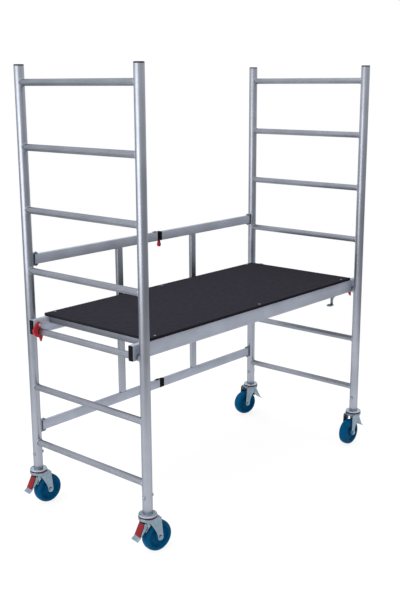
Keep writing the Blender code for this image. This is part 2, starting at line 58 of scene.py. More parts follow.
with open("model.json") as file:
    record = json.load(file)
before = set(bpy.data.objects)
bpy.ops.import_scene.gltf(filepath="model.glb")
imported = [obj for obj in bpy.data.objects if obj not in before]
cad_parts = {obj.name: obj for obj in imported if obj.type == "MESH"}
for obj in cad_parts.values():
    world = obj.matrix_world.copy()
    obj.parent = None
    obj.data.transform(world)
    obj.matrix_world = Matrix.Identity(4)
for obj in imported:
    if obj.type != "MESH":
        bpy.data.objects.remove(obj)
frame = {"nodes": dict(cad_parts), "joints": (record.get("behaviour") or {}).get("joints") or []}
CAD_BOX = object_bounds()
JOINTS = {joint["name"]: joint for joint in frame["joints"]}
CORNERS = ("front_left", "back_left", "front_right", "back_right")
SIDES = {"left": -1, "right": 1}
LEVELS = ("top", "bottom")
RUNGS = 7

# Room between two solids that fit together, between a piece and what it is fixed to, and round a plug or claw
FIT = 0.0003
TOUCH = 0.0001
INSET = 0.0004


def joint_spot(name):
    return Vector(JOINTS[name]["pos_m"])


def node_centre(node):
    low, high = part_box(node)
    return (low + high) / 2


def node_size(node):
    low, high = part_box(node)
    return high - low


# Places and sizes that the solids give
POST = joint_spot("swivel_front_right")
HALF_X, HALF_Y = POST.x, -POST.y
UPRIGHT_R = node_size("upright_front_left").x / 2
RUNG_R = node_size("rung_left_1").x / 2
FIRST_RUNG = node_centre("rung_left_1").z
RUNG_PITCH = node_centre("rung_left_2").z - FIRST_RUNG
DECK_RUNG = FIRST_RUNG + 2 * RUNG_PITCH
RAIL_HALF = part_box("gate_post_left")[0].z - FIT - node_centre("gate_rail_left_bottom").z

# The same for a caster, in its own frame with the wheel trailing along +X
SWIVEL = joint_spot("swivel_front_left")
AXLE = joint_spot("wheel_spin_front_left")
PEDAL = joint_spot("pedal_lift_front_left")
WHEEL_R = AXLE.z
TRAIL = (AXLE - SWIVEL).xy.length
CROWN_TOP = SWIVEL.z
PIN_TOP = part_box("caster_fork_front_left")[1].z
PEDAL_PIVOT = (-(PEDAL - SWIVEL).xy.length, PEDAL.z)


# Settings

def a_length(name, default, about):
    return FloatProperty(name=name, description=about, default=default, unit="LENGTH", precision=4)


def a_count(name, default, about, least):
    return IntProperty(name=name, description=about, default=default, min=least)


def an_angle(name, degrees, about):
    return FloatProperty(name=name, description=about, default=math.radians(degrees), subtype="ANGLE")


def a_colour(name, default, about):
    return FloatVectorProperty(name=name, description=about, default=default, subtype="COLOR", size=3,
                               min=0.0, max=1.0)


class LadderSettings(bpy.types.PropertyGroup):
    """Sizes of the two ladder frames."""
    wall: a_length("Tube wall", 0.002, "Wall of the uprights")
    rib_depth: a_length("Rib depth", 0.0008, "Depth of the grooves along a rung")
    rib_count: a_count("Ribs", 16, "Grooves round a rung", 6)
    bead: a_length("Weld bead", 0.0028, "Radius of the weld bead round a rung's end")
    bolt_height: a_length("Bolt height", 0.2355, "Height of the bolt through the foot of an upright")
    bolt_head: a_length("Bolt head", 0.0085, "Radius of the domed bolt head")
    bolt_nut: a_length("Bolt nut", 0.0076, "Radius of the nut on the bolt's other end")


class CasterSettings(bpy.types.PropertyGroup):
    """Sizes of the casters, in each caster's own frame with the wheel trailing along +X."""
    flange_radius: a_length("Flange radius", 0.0368, "Radius of the dished flange")
    crown_radius: a_length("Crown radius", 0.038, "Radius of the fork's crown")
    crown_bottom: a_length("Crown bottom", 0.142, "Height of the crown's lower face")
    kingpin: a_length("Kingpin", 0.006, "Radius of the kingpin")
    fork_inside: a_length("Fork inside", 0.0255, "Half the room between the legs")
    fork_plate: a_length("Fork plate", 0.003, "Thickness of a leg")
    eye: a_length("Axle eye", 0.013, "Radius of the rounded end of a leg")
    axle: a_length("Axle", 0.006, "Radius of the axle")
    wheel_half: a_length("Wheel half width", 0.0215, "Half the width of the tread")
    wheel_dish: a_length("Wheel dish", 0.0100, "Depth of the recess in a wheel's side")
    pedal_half: a_length("Pedal half width", 0.0205, "Half the width of the pedal")
    cover_half: a_length("Cover half width", 0.0165, "Half the width of the red pedal cover")
    cover_thick: a_length("Cover", 0.0028, "Thickness of the red pedal cover")
    cover_ribs: a_count("Cover ribs", 11, "Grip ribs across the pedal cover", 3)


class DeckSettings(bpy.types.PropertyGroup):
    """Sizes of the deck."""
    end_radius: a_length("End radius", 0.004, "Rounding of a beam's end")
    plug: a_length("End plug", 0.0038, "Thickness of the black plug on a beam's end")
    screw_x: a_length("Screw reach", 0.6525, "Distance of the end screws from the middle one")
    screw_y: a_length("Screw row", 0.290, "Distance of the screw rows from the middle")
    screw: a_length("Screw head", 0.0052, "Radius of a screw head on the board")
    hook_x: a_length("Hook place", 0.578, "Place of the stow hook along the front beam")
    hook_foot: a_length("Hook foot", 0.0270, "Reach of the stow hook's foot")
    hook_tab: a_length("Hook tab", 0.022, "Reach of the stow hook's fixing tab")
    hook_plate: a_length("Hook plate", 0.0055, "Thickness of the stow hook")


class GateSettings(bpy.types.PropertyGroup):
    """Sizes of the folding gate."""
    post_wide: a_length("Post width", 0.033, "Width of a gate post along the gate")
    post_deep: a_length("Post depth", 0.017, "Depth of a gate post across the gate")
    plug: a_length("Rail plug", 0.0034, "Thickness of the black plug on a rail's end")
    strap: a_length("Hinge strap", 0.024, "Reach of the black strap over the left-hand rail")
    strap_thick: a_length("Strap thickness", 0.0026, "Thickness of the black strap")


class FinishSettings(bpy.types.PropertyGroup):
    """Colours of the finishes."""
    aluminium: a_colour("Aluminium", (0.405, 0.428, 0.49), "Extruded tubes, rails and beams")
    zinc: a_colour("Zinc", (0.255, 0.335, 0.400), "Plated caster steel")
    # A lit copy of the caster zinc: flanges and brake carriers painted paler, painted light for how their
    # faces catch the light
    flange: a_colour("Flange zinc", (0.465, 0.565, 0.630), "Paler plate of the caster flanges")
    black: a_colour("Black plastic", (0.008, 0.008, 0.011), "Plugs and hinge ends")
    red: a_colour("Red plastic", (0.44, 0.016, 0.026), "Locks, pedal covers and knob")
    blue: a_colour("Wheel blue", (0.0, 0.088, 0.216), "Moulded wheels")
    ring: a_colour("Dust ring", (0.13, 0.012, 0.030), "Dark red rings over the caster forks")
    board: a_colour("Deck board", (0.040, 0.038, 0.049), "Film-faced plywood")


class StageSettings(bpy.types.PropertyGroup):
    """Camera, lamps and floor."""
    camera_at: FloatVectorProperty(name="Camera", description="Place of the camera", size=3,
                                   default=(-3.045572, -2.602651, 1.788899), subtype="TRANSLATION")
    azimuth: an_angle("Azimuth", -48.970, "Heading of the camera")
    tilt: an_angle("Tilt", 13.519, "Downward tilt of the camera")
    roll: an_angle("Roll", -0.2777, "Roll of the camera")
    lens: FloatProperty(name="Lens", description="Focal length in millimetres", default=54.553,
                        subtype="DISTANCE_CAMERA")
    key_power: FloatProperty(name="Key light", description="Power of the large soft lamp", default=54.0,
                             subtype="POWER")
    floor_size: a_length("Floor", 240.0, "Side of the floor")


SETTINGS = {
    "platform_ladder": LadderSettings,
    "platform_caster": CasterSettings,
    "platform_deck": DeckSettings,
    "platform_gate": GateSettings,
    "platform_finish": FinishSettings,
    "platform_stage": StageSettings,
}


# Node trees

EVEN = (1.0, 1.0, 1.0)
NOISE_SPAN = (0.3, 0.7)
SOFT = "SMOOTHSTEP"
UP = (0.0, 0.0, 1.0)
FRONT = (0.0, -1.0, 0.0)
CAMERA_AHEAD = (0.755, 0.656, 0.0)
LIT_SIDE = (-0.62, 0.71, 0.33)


def grey(level):
    return (level, level, level, 1.0)


class Nodes:
    """A node tree with a short way to add and join nodes."""

    def __init__(self, tree):
        self.tree = tree

    def feed(self, value, target):
        """Give an input a plain value, or join another node's output to it."""
        if isinstance(value, bpy.types.NodeSocket):
            self.tree.links.new(value, target)
        else:
            target.default_value = value

    def add(self, kind, inputs=None, **settings):
        made = self.tree.nodes.new(kind)
        for key, value in settings.items():
            setattr(made, key, value)
        for key, value in (inputs or {}).items():
            self.feed(value, made.inputs[key])
        return made

    def first(self, kind, inputs=None, **settings):
        """The first output of a new node."""
        return self.add(kind, inputs, **settings).outputs[0]

    def math(self, operation, *values):
        return self.first("ShaderNodeMath", dict(enumerate(values)), operation=operation)

    def mix(self, factor, a, b, **settings):
        return self.add("ShaderNodeMix", {"Factor": factor, "A": a, "B": b}, **settings).outputs["Result"]

    def fit(self, value, span, levels, ease="LINEAR"):
        """Carry a value from one span to another."""
        labels = ("Value", "From Min", "From Max", "To Min", "To Max")
        inputs = dict(zip(labels, (value, *span, *levels)))
        return self.add("ShaderNodeMapRange", inputs, interpolation_type=ease).outputs["Result"]

    def facing(self, direction, side):
        """How far a direction points to one side, from -1 to 1."""
        dot = self.add("ShaderNodeVectorMath", {0: direction, 1: side}, operation="DOT_PRODUCT")
        return dot.outputs["Value"]

    def seen(self):
        """1 for rays that show the background: straight from the camera, off metal or through glass."""
        path = self.add("ShaderNodeLightPath").outputs
        value = path["Is Camera Ray"]
        for label in ("Is Glossy Ray", "Is Transmission Ray"):
            value = self.math("MAXIMUM", value, path[label])
        return value

    def studio(self, direction):
        """The studio's strength by direction: white ahead of the camera, dim elsewhere near the horizon."""
        above, front, ahead = [self.facing(direction, side) for side in (UP, FRONT, CAMERA_AHEAD)]
        above = self.fit(above, span=(0.0, 0.15), levels=(0.44, 1.0), ease=SOFT)
        front = self.fit(front, span=(0.0, 1.0), levels=(1.0, 0.68), ease=SOFT)
        ahead = self.fit(ahead, span=(0.35, 0.75), levels=(0.0, 1.0), ease=SOFT)
        return self.mix(ahead, self.math("MULTIPLY", above, front), 1.0)


class Shader(Nodes):
    """A Principled material and its patterns."""

    def __init__(self, name, colour, roughness, metallic=0.0):
        self.material = bpy.data.materials.new(name)
        self.material.use_nodes = True
        super().__init__(self.material.node_tree)
        self.surface = self.tree.nodes["Principled BSDF"].inputs
        self.paint("Base Color", (*colour, 1.0))
        self.paint("Roughness", roughness)
        self.paint("Metallic", metallic)

    def paint(self, key, value):
        """Give the surface a value or a pattern."""
        self.feed(value, self.surface[key])

    def place(self, stretch=EVEN):
        """Object coordinates stretched by a scale per axis."""
        where = self.add("ShaderNodeTexCoord").outputs["Object"]
        return self.first("ShaderNodeMapping", {"Vector": where, "Scale": stretch})

    def noise(self, scale, stretch=EVEN, detail=3.0):
        inputs = {"Vector": self.place(stretch), "Scale": scale, "Detail": detail}
        return self.add("ShaderNodeTexNoise", inputs).outputs["Fac"]

    def tint(self, value, colour, dark, light):
        """Colour the surface by a pattern, from a darker to a lighter shade."""
        ramp = self.add("ShaderNodeValToRGB", {"Fac": value})
        for stop, place, tone in zip(ramp.color_ramp.elements, NOISE_SPAN, (dark, light)):
            stop.position = place
            stop.color = (*scaled(colour, tone), 1.0)
        self.paint("Base Color", ramp.outputs["Color"])
        return ramp.outputs["Color"]

    def rough(self, value, low, high):
        self.paint("Roughness", self.fit(value, NOISE_SPAN, (low, high)))

    def bump(self, value, depth, strength):
        lift = {"Height": value, "Distance": depth, "Strength": strength}
        self.paint("Normal", self.first("ShaderNodeBump", lift))


# Materials

METAL = 1.0
DRAW_STRETCH = 0.012
SATIN_EDGE = (0.50, 0.54, 0.60)
DULL_EDGE = (0.16, 0.18, 0.22)


def scaled(colour, factor):
    return tuple(min(1.0, channel * factor) for channel in colour)


def extruded_aluminium(name, colour, along, roughness, edge):
    """Satin extrusion with draw lines along one axis and faint clouding."""
    shader = Shader(name, colour, roughness, METAL)
    shader.paint("Specular Tint", (*edge, 1.0))
    drawn = [DRAW_STRETCH if axis == along else 1.0 for axis in "XYZ"]
    lines = shader.noise(scale=900.0, stretch=drawn, detail=2.0)
    shader.tint(shader.noise(scale=9.0, detail=4.0), colour, dark=0.92, light=1.08)
    shader.rough(lines, low=roughness - 0.04, high=roughness + 0.06)
    shader.bump(lines, depth=0.00004, strength=0.25)
    return shader.material


def weld_aluminium(colour):
    """Rippled weld metal, brighter and rougher than the tube."""
    shader = Shader("weld_metal", scaled(colour, 1.1), roughness=0.45, metallic=METAL)
    grain = shader.noise(scale=700.0)
    shader.rough(grain, low=0.37, high=0.55)
    shader.bump(grain, depth=0.0002, strength=0.5)
    return shader.material


def plated_zinc(name, colour, roughness):
    """Zinc plate with soft spangle."""
    shader = Shader(name, colour, roughness, METAL)
    spangle = shader.add("ShaderNodeTexVoronoi", {"Vector": shader.place(), "Scale": 170.0})
    cloud = shader.noise(scale=60.0)
    shader.tint(cloud, colour, dark=0.86, light=1.12)
    shader.rough(spangle.outputs["Distance"], low=roughness - 0.04, high=roughness + 0.12)
    shader.bump(cloud, depth=0.0001, strength=0.4)
    return shader.material


def moulded_plastic(name, colour, roughness, sheen, grain=1500.0):
    """Moulded plastic with a fine spark-eroded grain and a weak sheen."""
    shader = Shader(name, colour, roughness)
    shader.paint("Specular IOR Level", sheen)
    speckle = shader.noise(grain, detail=2.0)
    shader.tint(shader.noise(scale=40.0), colour, dark=0.88, light=1.12)
    shader.rough(speckle, low=roughness - 0.06, high=roughness + 0.08)
    shader.bump(speckle, depth=0.00005, strength=0.6)
    return shader.material


def film_faced_ply(colour, top):
    """Dark film with a fine wire-mesh imprint and faint scuffs, and darker sealed edges below its top."""
    shader = Shader("film_faced_ply", colour, roughness=0.62)
    shader.paint("Specular IOR Level", 0.0)
    wires = []
    for axis in "XY":
        wave = {"Vector": shader.place(), "Scale": 90.0}
        bands = shader.add("ShaderNodeTexWave", wave, wave_type="BANDS", bands_direction=axis)
        wires.append(bands.outputs["Fac"])
    scuff = shader.noise(scale=48.0, stretch=(0.7, 1.0, 1.0), detail=6.0)
    film = shader.tint(scuff, colour, dark=0.93, light=1.12)
    height = shader.add("ShaderNodeSeparateXYZ", {"Vector": shader.place()}).outputs["Z"]
    sealed = shader.fit(height, span=(top - 0.0012, top - 0.0004), levels=(0.5, 1.0))
    shader.paint("Base Color", shader.mix(1.0, film, sealed, data_type="RGBA", blend_type="MULTIPLY"))
    shader.rough(scuff, low=0.52, high=0.68)
    shader.bump(shader.math("MULTIPLY", *wires), depth=0.0004, strength=0.22)
    return shader.material


FINISHES = {}

# Extrusions: tone of the aluminium, direction of the draw lines, roughness and tint of the grazing shine. The
# tones are painted light: one aluminium made paler or darker per kind of piece for how lit or shaded it looks
EXTRUSIONS = {
    # Beams and rails: a rougher mill finish, and paler as painted light
    "aluminium_bar": (1.48, "X", 0.70, DULL_EDGE),
    "aluminium_tube": (1.0, "Z", 0.37, SATIN_EDGE),
    # Rungs and gate posts: darker copies of the aluminium, painted shade
    "aluminium_rung": (0.86, "Y", 0.30, SATIN_EDGE),
    "aluminium_post": (0.85, "Z", 0.28, SATIN_EDGE),
    # Cross members: the darkest copy, painted shade from the board above them
    "aluminium_cross": (0.60, "Y", 0.55, SATIN_EDGE),
}


def make_finishes(settings):
    """Make every finish from the chosen colours."""
    for name, (tone, along, roughness, edge) in EXTRUSIONS.items():
        FINISHES[name] = extruded_aluminium(name, scaled(settings.aluminium, tone), along, roughness, edge)
    FINISHES.update(
        # Clevises: plated zinc darkened to 0.8, painted shade for the shaded inside of the channel
        aluminium_clevis=plated_zinc("clevis_plate", scaled(settings.zinc, 0.8), roughness=0.40),
        weld=weld_aluminium(settings.aluminium),
        zinc=plated_zinc("zinc_plate", settings.zinc, roughness=0.30),
        # The paler zinc is painted light, a lit copy of the caster zinc
        zinc_flange=plated_zinc("zinc_flange", settings.flange, roughness=0.46),
        black=moulded_plastic("black_plastic", settings.black, roughness=0.50, sheen=0.05),
        red=moulded_plastic("red_plastic", settings.red, roughness=0.40, sheen=0.25),
        red_cover=moulded_plastic("red_cover", scaled(settings.red, 0.56), roughness=0.45, sheen=0.20),
        blue=moulded_plastic("wheel_plastic", settings.blue, roughness=0.36, sheen=0.04, grain=700.0),
        ring=moulded_plastic("ring_rubber", settings.ring, roughness=0.50, sheen=0.15),
        board=film_faced_ply(settings.board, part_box("deck_board")[1].z),
    )


# Shapes

# Radius taken as on the axis, distance of points that are one, and angles in degrees of smooth and flat edges
ON_AXIS = 1e-7
MERGE = 1e-6
SMOOTH = 35.0
FLAT = 1.0


def spot(axis, along, a, b):
    """A point from its place along an axis and its other two coordinates in XYZ order."""
    return {"X": (along, a, b), "Y": (a, along, b), "Z": (a, b, along)}[axis]


def sided(side, near, far):
    """Two distances to one side of the middle, as places in rising order."""
    return sorted((side * near, side * far))


def rectangle(low, high):
    return [(low[0], low[1]), (high[0], low[1]), (high[0], high[1]), (low[0], high[1])]


def prism(outline, low, high, axis="Z"):
    """Extrude a closed outline along an axis; the outline holds the other two coordinates in XYZ order."""
    bm = bmesh.new()
    lower, upper = [[bm.verts.new(spot(axis, along, *pair)) for pair in outline] for along in (low, high)]
    bm.faces.new(lower)
    bm.faces.new(upper)
    for i in range(len(outline)):
        j = (i + 1) % len(outline)
        bm.faces.new((lower[i], lower[j], upper[j], upper[i]))
    return bm


def box(low, high):
    return prism(rectangle(low, high), low[2], high[2])


def turned(profile, sides=64, axis="Z", centre=(0.0, 0.0, 0.0)):
    """Revolve (radius, along) points; a closed profile that stays off the axis leaves a bore."""
    bm = bmesh.new()
    rings = []
    for radius, along in profile:
        ring = []
        for k in range(sides if radius > ON_AXIS else 1):
            angle = 2 * math.pi * k / sides
            point = spot(axis, along, radius * math.cos(angle), radius * math.sin(angle))
            ring.append(bm.verts.new([c + p for c, p in zip(centre, point)]))
        rings.append(ring)
    pairs = list(zip(rings, rings[1:]))
    if len(rings[0]) > 1:
        pairs.append((rings[-1], rings[0]))
    for ring, following in pairs:
        for k in range(sides):
            corners = [ring[k % len(ring)], ring[(k + 1) % len(ring)],
                       following[(k + 1) % len(following)], following[k % len(following)]]
            distinct = list(dict.fromkeys(corners))
            if len(distinct) > 2:
                bm.faces.new(distinct)
    return bm


def rod(radius, low, high, axis="Z", centre=(0.0, 0.0, 0.0), chamfer=0.0, sides=32):
    profile = [(0.0, high), (radius - chamfer, high), (radius, high - chamfer),
               (radius, low + chamfer), (radius - chamfer, low), (0.0, low)]
    if not chamfer:
        profile = [(0.0, high), (radius, high), (radius, low), (0.0, low)]
    return turned(profile, sides, axis, centre)


def arc(centre, radius, start, end, steps):
    """Points along an arc, with angles in degrees."""
    angles = [math.radians(start + (end - start) * i / steps) for i in range(steps + 1)]
    return [(centre[0] + radius * math.cos(a), centre[1] + radius * math.sin(a)) for a in angles]


def bent(start, control, end, steps):
    """Points along a quadratic curve."""
    points = []
    for i in range(steps + 1):
        t = i / steps
        weights = ((1 - t) ** 2, 2 * t * (1 - t), t * t)
        points.append(tuple(sum(w * p[k] for w, p in zip(weights, (start, control, end))) for k in (0, 1)))
    return points


def filleted(points, radius, steps=4, closed=True):
    """Round the corners of a 2D line; each fillet shrinks to fit its sides."""
    most = 0.45
    count = len(points)
    result = []
    for i, point in enumerate(points):
        if not closed and i in (0, count - 1):
            result.append(point)
            continue
        here = Vector(point)
        before, after = Vector(points[i - 1]) - here, Vector(points[(i + 1) % count]) - here
        reach = min(radius, before.length * most, after.length * most)
        start, end = here + before.normalized() * reach, here + after.normalized() * reach
        result += bent(start, here, end, steps)
    return result


def linked(name, data):
    """A new object in the scene."""
    obj = bpy.data.objects.new(name, data)
    bpy.context.scene.collection.objects.link(obj)
    return obj


def finished(name, shape):
    """A plain mesh with outward faces, smooth across shallow edges."""
    if isinstance(shape, bpy.types.Mesh):
        mesh = shape
        mesh.name = name
    else:
        bmesh.ops.recalc_face_normals(shape, faces=shape.faces[:])
        mesh = bpy.data.meshes.new(name)
        shape.to_mesh(mesh)
        shape.free()
    mesh.shade_smooth()
    mesh.set_sharp_from_angle(angle=math.radians(SMOOTH))
    return mesh


def scratch(shape):
    return linked("scratch", finished("scratch", shape))


def baked(obj, *others):
    """The evaluated mesh of an object; the object and its helpers are removed."""
    graph = bpy.context.evaluated_depsgraph_get()
    graph.update()
    mesh = bpy.data.meshes.new_from_object(obj.evaluated_get(graph))
    for item in (obj, *others):
        bpy.data.objects.remove(item, do_unlink=True)
    mesh.materials.clear()
    return mesh


def united(first, *others):
    """The union of several shapes."""
    body = scratch(first)
    tools = [scratch(shape) for shape in others]
    for tool in tools:
        union = body.modifiers.new("union", "BOOLEAN")
        union.operation = "UNION"
        union.object = tool
    return baked(body, *tools)


# Rounding of each kind of piece's edges: width, segments and the least angle of an edge that is rounded
EDGES = {
    "bolt nut": (0.0007, 3, 30.0),
    "fork yoke": (0.0009, 3, 30.0),
    "fork leg": (0.0007, 2, 50.0),
    "axle nut": (0.0008, 3, 30.0),
    "pedal lever": (0.0006, 2, 30.0),
    "pedal cover": (0.0005, 2, 20.0),
    "pedal lip": (0.0004, 2, 20.0),
    "brake pad": (0.0006, 2, 40.0),
    "gate rail": (0.0016, 3, 30.0),
    "rail plug and shade": (0.0012, 3, 30.0),
    "gate post": (0.0018, 3, 30.0),
    "hinge strap": (0.0003, 2, 30.0),
    "clevis": (0.0006, 2, 30.0),
    "knuckle": (0.0004, 2, 30.0),
    "board": (0.0008, 3, 30.0),
    "beam": (0.0008, 2, 40.0),
    "beam plug": (0.0012, 3, 40.0),
    "cross bar": (0.0012, 3, 30.0),
    "hook leg": (0.0008, 2, 40.0),
    "hook foot": (0.0012, 2, 40.0),
    "lock": (0.0009, 3, 30.0),
}


def softened(shape, kind):
    """Round the sharp edges of a shape as its kind of piece asks."""
    width, segments, angle = EDGES[kind]
    obj = scratch(shape)
    bevel = obj.modifiers.new("edges", "BEVEL")
    bevel.width = width
    bevel.segments = segments
    bevel.limit_method = "ANGLE"
    bevel.angle_limit = math.radians(angle)
    bevel.use_clamp_overlap = True
    return baked(obj)


def node_copy(node):
    """A welded copy of a solid's mesh, with its flat triangles joined into faces."""
    bm = bmesh.new()
    bm.from_mesh(frame["nodes"][node].data)
    bmesh.ops.remove_doubles(bm, verts=bm.verts[:], dist=MERGE)
    bmesh.ops.dissolve_limit(bm, angle_limit=math.radians(FLAT), verts=bm.verts[:], edges=bm.edges[:])
    return bm


def piece(name, shape, finish, body, *nodes, matrix=None):
    """A finished piece at the origin that rides on a body and stands for the named solids."""
    mesh = finished(name, shape)
    if matrix:
        mesh.transform(matrix)
    mesh.materials.clear()
    mesh.materials.append(FINISHES[finish])
    obj = linked(name, mesh)
    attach(obj, body)
    if nodes:
        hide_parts(*nodes)
    return obj


def caster_matrix(corner):
    """From a caster's own frame, with the wheel trailing along +X, to the platform's."""
    swivel = joint_spot("swivel_" + corner)
    reach = joint_spot("wheel_spin_" + corner) - swivel
    heading = math.atan2(reach.y, reach.x)
    return Matrix.Translation((swivel.x, swivel.y, 0.0)) @ Matrix.Rotation(heading, 4, "Z")


# What repeats

class Tree(Nodes):
    """A Geometry Nodes tree with named inputs."""

    def __init__(self, name, inputs):
        super().__init__(bpy.data.node_groups.new(name, "GeometryNodeTree"))
        face = self.tree.interface
        self.keys = {}
        for label, kind in {"Geometry": "Geometry", **inputs}.items():
            made = face.new_socket(label, in_out="INPUT", socket_type="NodeSocket" + kind)
            self.keys[label] = made.identifier
        face.new_socket("Geometry", in_out="OUTPUT", socket_type="NodeSocketGeometry")
        self.given = self.add("NodeGroupInput").outputs
        self.result = self.add("NodeGroupOutput").inputs

    def vector(self, x=0.0, y=0.0, z=0.0):
        return self.first("ShaderNodeCombineXYZ", {"X": x, "Y": y, "Z": z})

    def position(self):
        """The three coordinates of each point."""
        here = self.first("GeometryNodeInputPosition")
        return self.add("ShaderNodeSeparateXYZ", {0: here}).outputs[:]

    def cope(self, x):
        """How far a point at x on a rung reaches before it meets the round upright."""
        radius = self.given["Upright Radius"]
        inside = self.math("SUBTRACT", self.math("MULTIPLY", radius, radius), self.math("MULTIPLY", x, x))
        return self.math("SUBTRACT", self.given["Half Span"], self.math("SQRT", inside))

    def joined(self, parts):
        made = self.add("GeometryNodeJoinGeometry")
        for part in parts:
            self.feed(part, made.inputs[0])
        return made.outputs[0]

    def end(self, geometry):
        """Close the tree with plain geometry in the given material."""
        plain = self.first("GeometryNodeRealizeInstances", {0: geometry})
        painted = {"Geometry": plain, "Material": self.given["Material"]}
        self.feed(self.first("GeometryNodeSetMaterial", painted), self.result["Geometry"])
        return self

    def on_ladders(self, instance):
        """Put an instance at the middle of every rung of both ladder frames, and close the tree."""
        given = self.given
        lines = []
        for side in SIDES.values():
            x = self.math("MULTIPLY", given["Frame Spacing"], side * 0.5)
            line = {"Count": given["Rungs"], "Start Location": self.vector(x, 0.0, given["First"]),
                    "Offset": self.vector(0.0, 0.0, given["Pitch"])}
            lines.append(self.first("GeometryNodeMeshLine", line))
        placed = {"Points": self.joined(lines), "Instance": instance}
        return self.end(self.first("GeometryNodeInstanceOnPoints", placed))

    def run(self, values, points=()):
        """Evaluate the tree on loose points, each with its aim, and return a plain mesh."""
        mesh = bpy.data.meshes.new("points")
        mesh.from_pydata([place for place, _ in points], [], [])
        if points:
            aim = mesh.attributes.new("aim", "FLOAT_VECTOR", "POINT")
            aim.data.foreach_set("vector", [c for _, way in points for c in way])
        obj = linked("points", mesh)
        modifier = obj.modifiers.new("nodes", "NODES")
        modifier.node_group = self.tree
        for label, value in values.items():
            modifier[self.keys[label]] = value
        return baked(obj)


LADDER_SIZES = {"Rung Radius": RUNG_R, "Half Span": HALF_Y, "Upright Radius": UPRIGHT_R,
                "Frame Spacing": 2 * HALF_X, "First": FIRST_RUNG, "Pitch": RUNG_PITCH}
LADDER_INPUTS = {**dict.fromkeys(LADDER_SIZES, "Float"), "Rungs": "Int", "Material": "Material"}
RIB_STEPS = 8.0
RIB_SHARPNESS = 3.0
BEAD_STEPS = 72
BEAD_SIDES = 10
RIPPLE_TURN = 2.1
RIPPLE_DEPTH = 0.14


def ladder_values(finish):
    return {**LADDER_SIZES, "Rungs": RUNGS, "Material": FINISHES[finish]}


def rung_tree():
    """Ribbed rungs, coped to the uprights, on every step of both ladder frames."""
    tree = Tree("ribbed_rungs", {**LADDER_INPUTS, "Rib Depth": "Float", "Ribs": "Int"})
    given, first, calc = tree.given, tree.first, tree.math
    radius, half = given["Rung Radius"], given["Half Span"]
    steps = calc("MULTIPLY", given["Ribs"], RIB_STEPS)
    ring = first("GeometryNodeCurvePrimitiveCircle", {"Resolution": steps, "Radius": radius})
    wave = calc("COSINE", calc("MULTIPLY", first("GeometryNodeInputIndex"), 2 * math.pi / RIB_STEPS))
    groove = calc("POWER", calc("MULTIPLY_ADD", wave, 0.5, 0.5), RIB_SHARPNESS)
    share = calc("DIVIDE", calc("MULTIPLY", groove, given["Rib Depth"]), radius)
    inward = {0: first("GeometryNodeInputPosition"), "Scale": calc("MULTIPLY", share, -1.0)}
    shrink = first("ShaderNodeVectorMath", inward, operation="SCALE")
    grooved = first("GeometryNodeSetPosition", {"Geometry": ring, "Offset": shrink})
    ends = {"Start": tree.vector(y=calc("MULTIPLY", half, -1.0)), "End": tree.vector(y=half)}
    line = first("GeometryNodeCurvePrimitiveLine", ends)
    tube = first("GeometryNodeCurveToMesh", {"Curve": line, "Profile Curve": grooved, "Fill Caps": True})
    x, y, z = tree.position()
    reach = tree.cope(x)
    clamped = calc("MAXIMUM", calc("MINIMUM", y, reach), calc("MULTIPLY", reach, -1.0))
    coped = first("GeometryNodeSetPosition", {"Geometry": tube, "Position": tree.vector(x, clamped, z)})
    return tree.on_ladders(coped)


def bead_tree():
    """Weld beads that follow the saddle line round both ends of every rung."""
    tree = Tree("weld_beads", {**LADDER_INPUTS, "Bead": "Float"})
    given, first, calc = tree.given, tree.first, tree.math
    radius = calc("ADD", given["Rung Radius"], calc("MULTIPLY", given["Bead"], 0.25))
    ring = first("GeometryNodeCurvePrimitiveCircle", {"Resolution": BEAD_STEPS, "Radius": radius})
    x, z, _ = tree.position()
    saddle = first("GeometryNodeSetPosition", {"Geometry": ring, "Position": tree.vector(x, tree.cope(x), z)})
    ripple = calc("SINE", calc("MULTIPLY", first("GeometryNodeInputIndex"), RIPPLE_TURN))
    thick = calc("ADD", calc("MULTIPLY", ripple, RIPPLE_DEPTH), 1.0)
    rippled = first("GeometryNodeSetCurveRadius", {0: saddle, "Radius": thick})
    section = first("GeometryNodeCurvePrimitiveCircle", {"Resolution": BEAD_SIDES, "Radius": given["Bead"]})
    sweep = {"Curve": rippled, "Profile Curve": section, "Scale": first("GeometryNodeInputRadius")}
    bead = first("GeometryNodeCurveToMesh", sweep)
    far = first("GeometryNodeTransform", {"Geometry": bead, "Rotation": (0.0, 0.0, math.pi)})
    return tree.on_ladders(tree.joined((bead, far)))


def fastener_tree():
    """One head at every point, turned so that its +Z follows the point's aim."""
    tree = Tree("fasteners", {"Head": "Object", "Material": "Material"})
    given, first = tree.given, tree.first
    head = tree.add("GeometryNodeObjectInfo", {"Object": given["Head"]}).outputs["Geometry"]
    named = tree.add("GeometryNodeInputNamedAttribute", {"Name": "aim"}, data_type="FLOAT_VECTOR")
    turn = first("FunctionNodeAlignRotationToVector", {"Vector": named.outputs["Attribute"]}, axis="Z")
    spots = first("GeometryNodeMeshToPoints", {0: given["Geometry"]})
    placed = {"Points": spots, "Instance": head, "Rotation": turn}
    return tree.end(first("GeometryNodeInstanceOnPoints", placed))


def fasteners(name, head, finish, body, points):
    """Repeat a head on points of one body."""
    pattern = scratch(head)
    mesh = fastener_tree().run({"Head": pattern, "Material": FINISHES[finish]}, points)
    bpy.data.objects.remove(pattern, do_unlink=True)
    return piece(name, mesh, finish, body)


def domed_head(radius, height, recess=0.0):
    """A low domed head standing on z = 0 and sunk a little, with an optional drive recess."""
    lip, sunk, steps = 0.0004, -0.0008, 8
    angles = [math.pi / 2 * i / steps for i in range(steps)]
    dome = [(radius * math.cos(a), lip + height * math.sin(a)) for a in angles]
    profile = [(0.0, height + lip)] + dome[::-1] + [(radius, sunk), (0.0, sunk)]
    if recess:
        profile[:3] = [(0.0, height * 0.45), (recess, height * 0.55), (recess * 1.1, height + 0.0002)]
    return turned(profile, 24)


# Operators

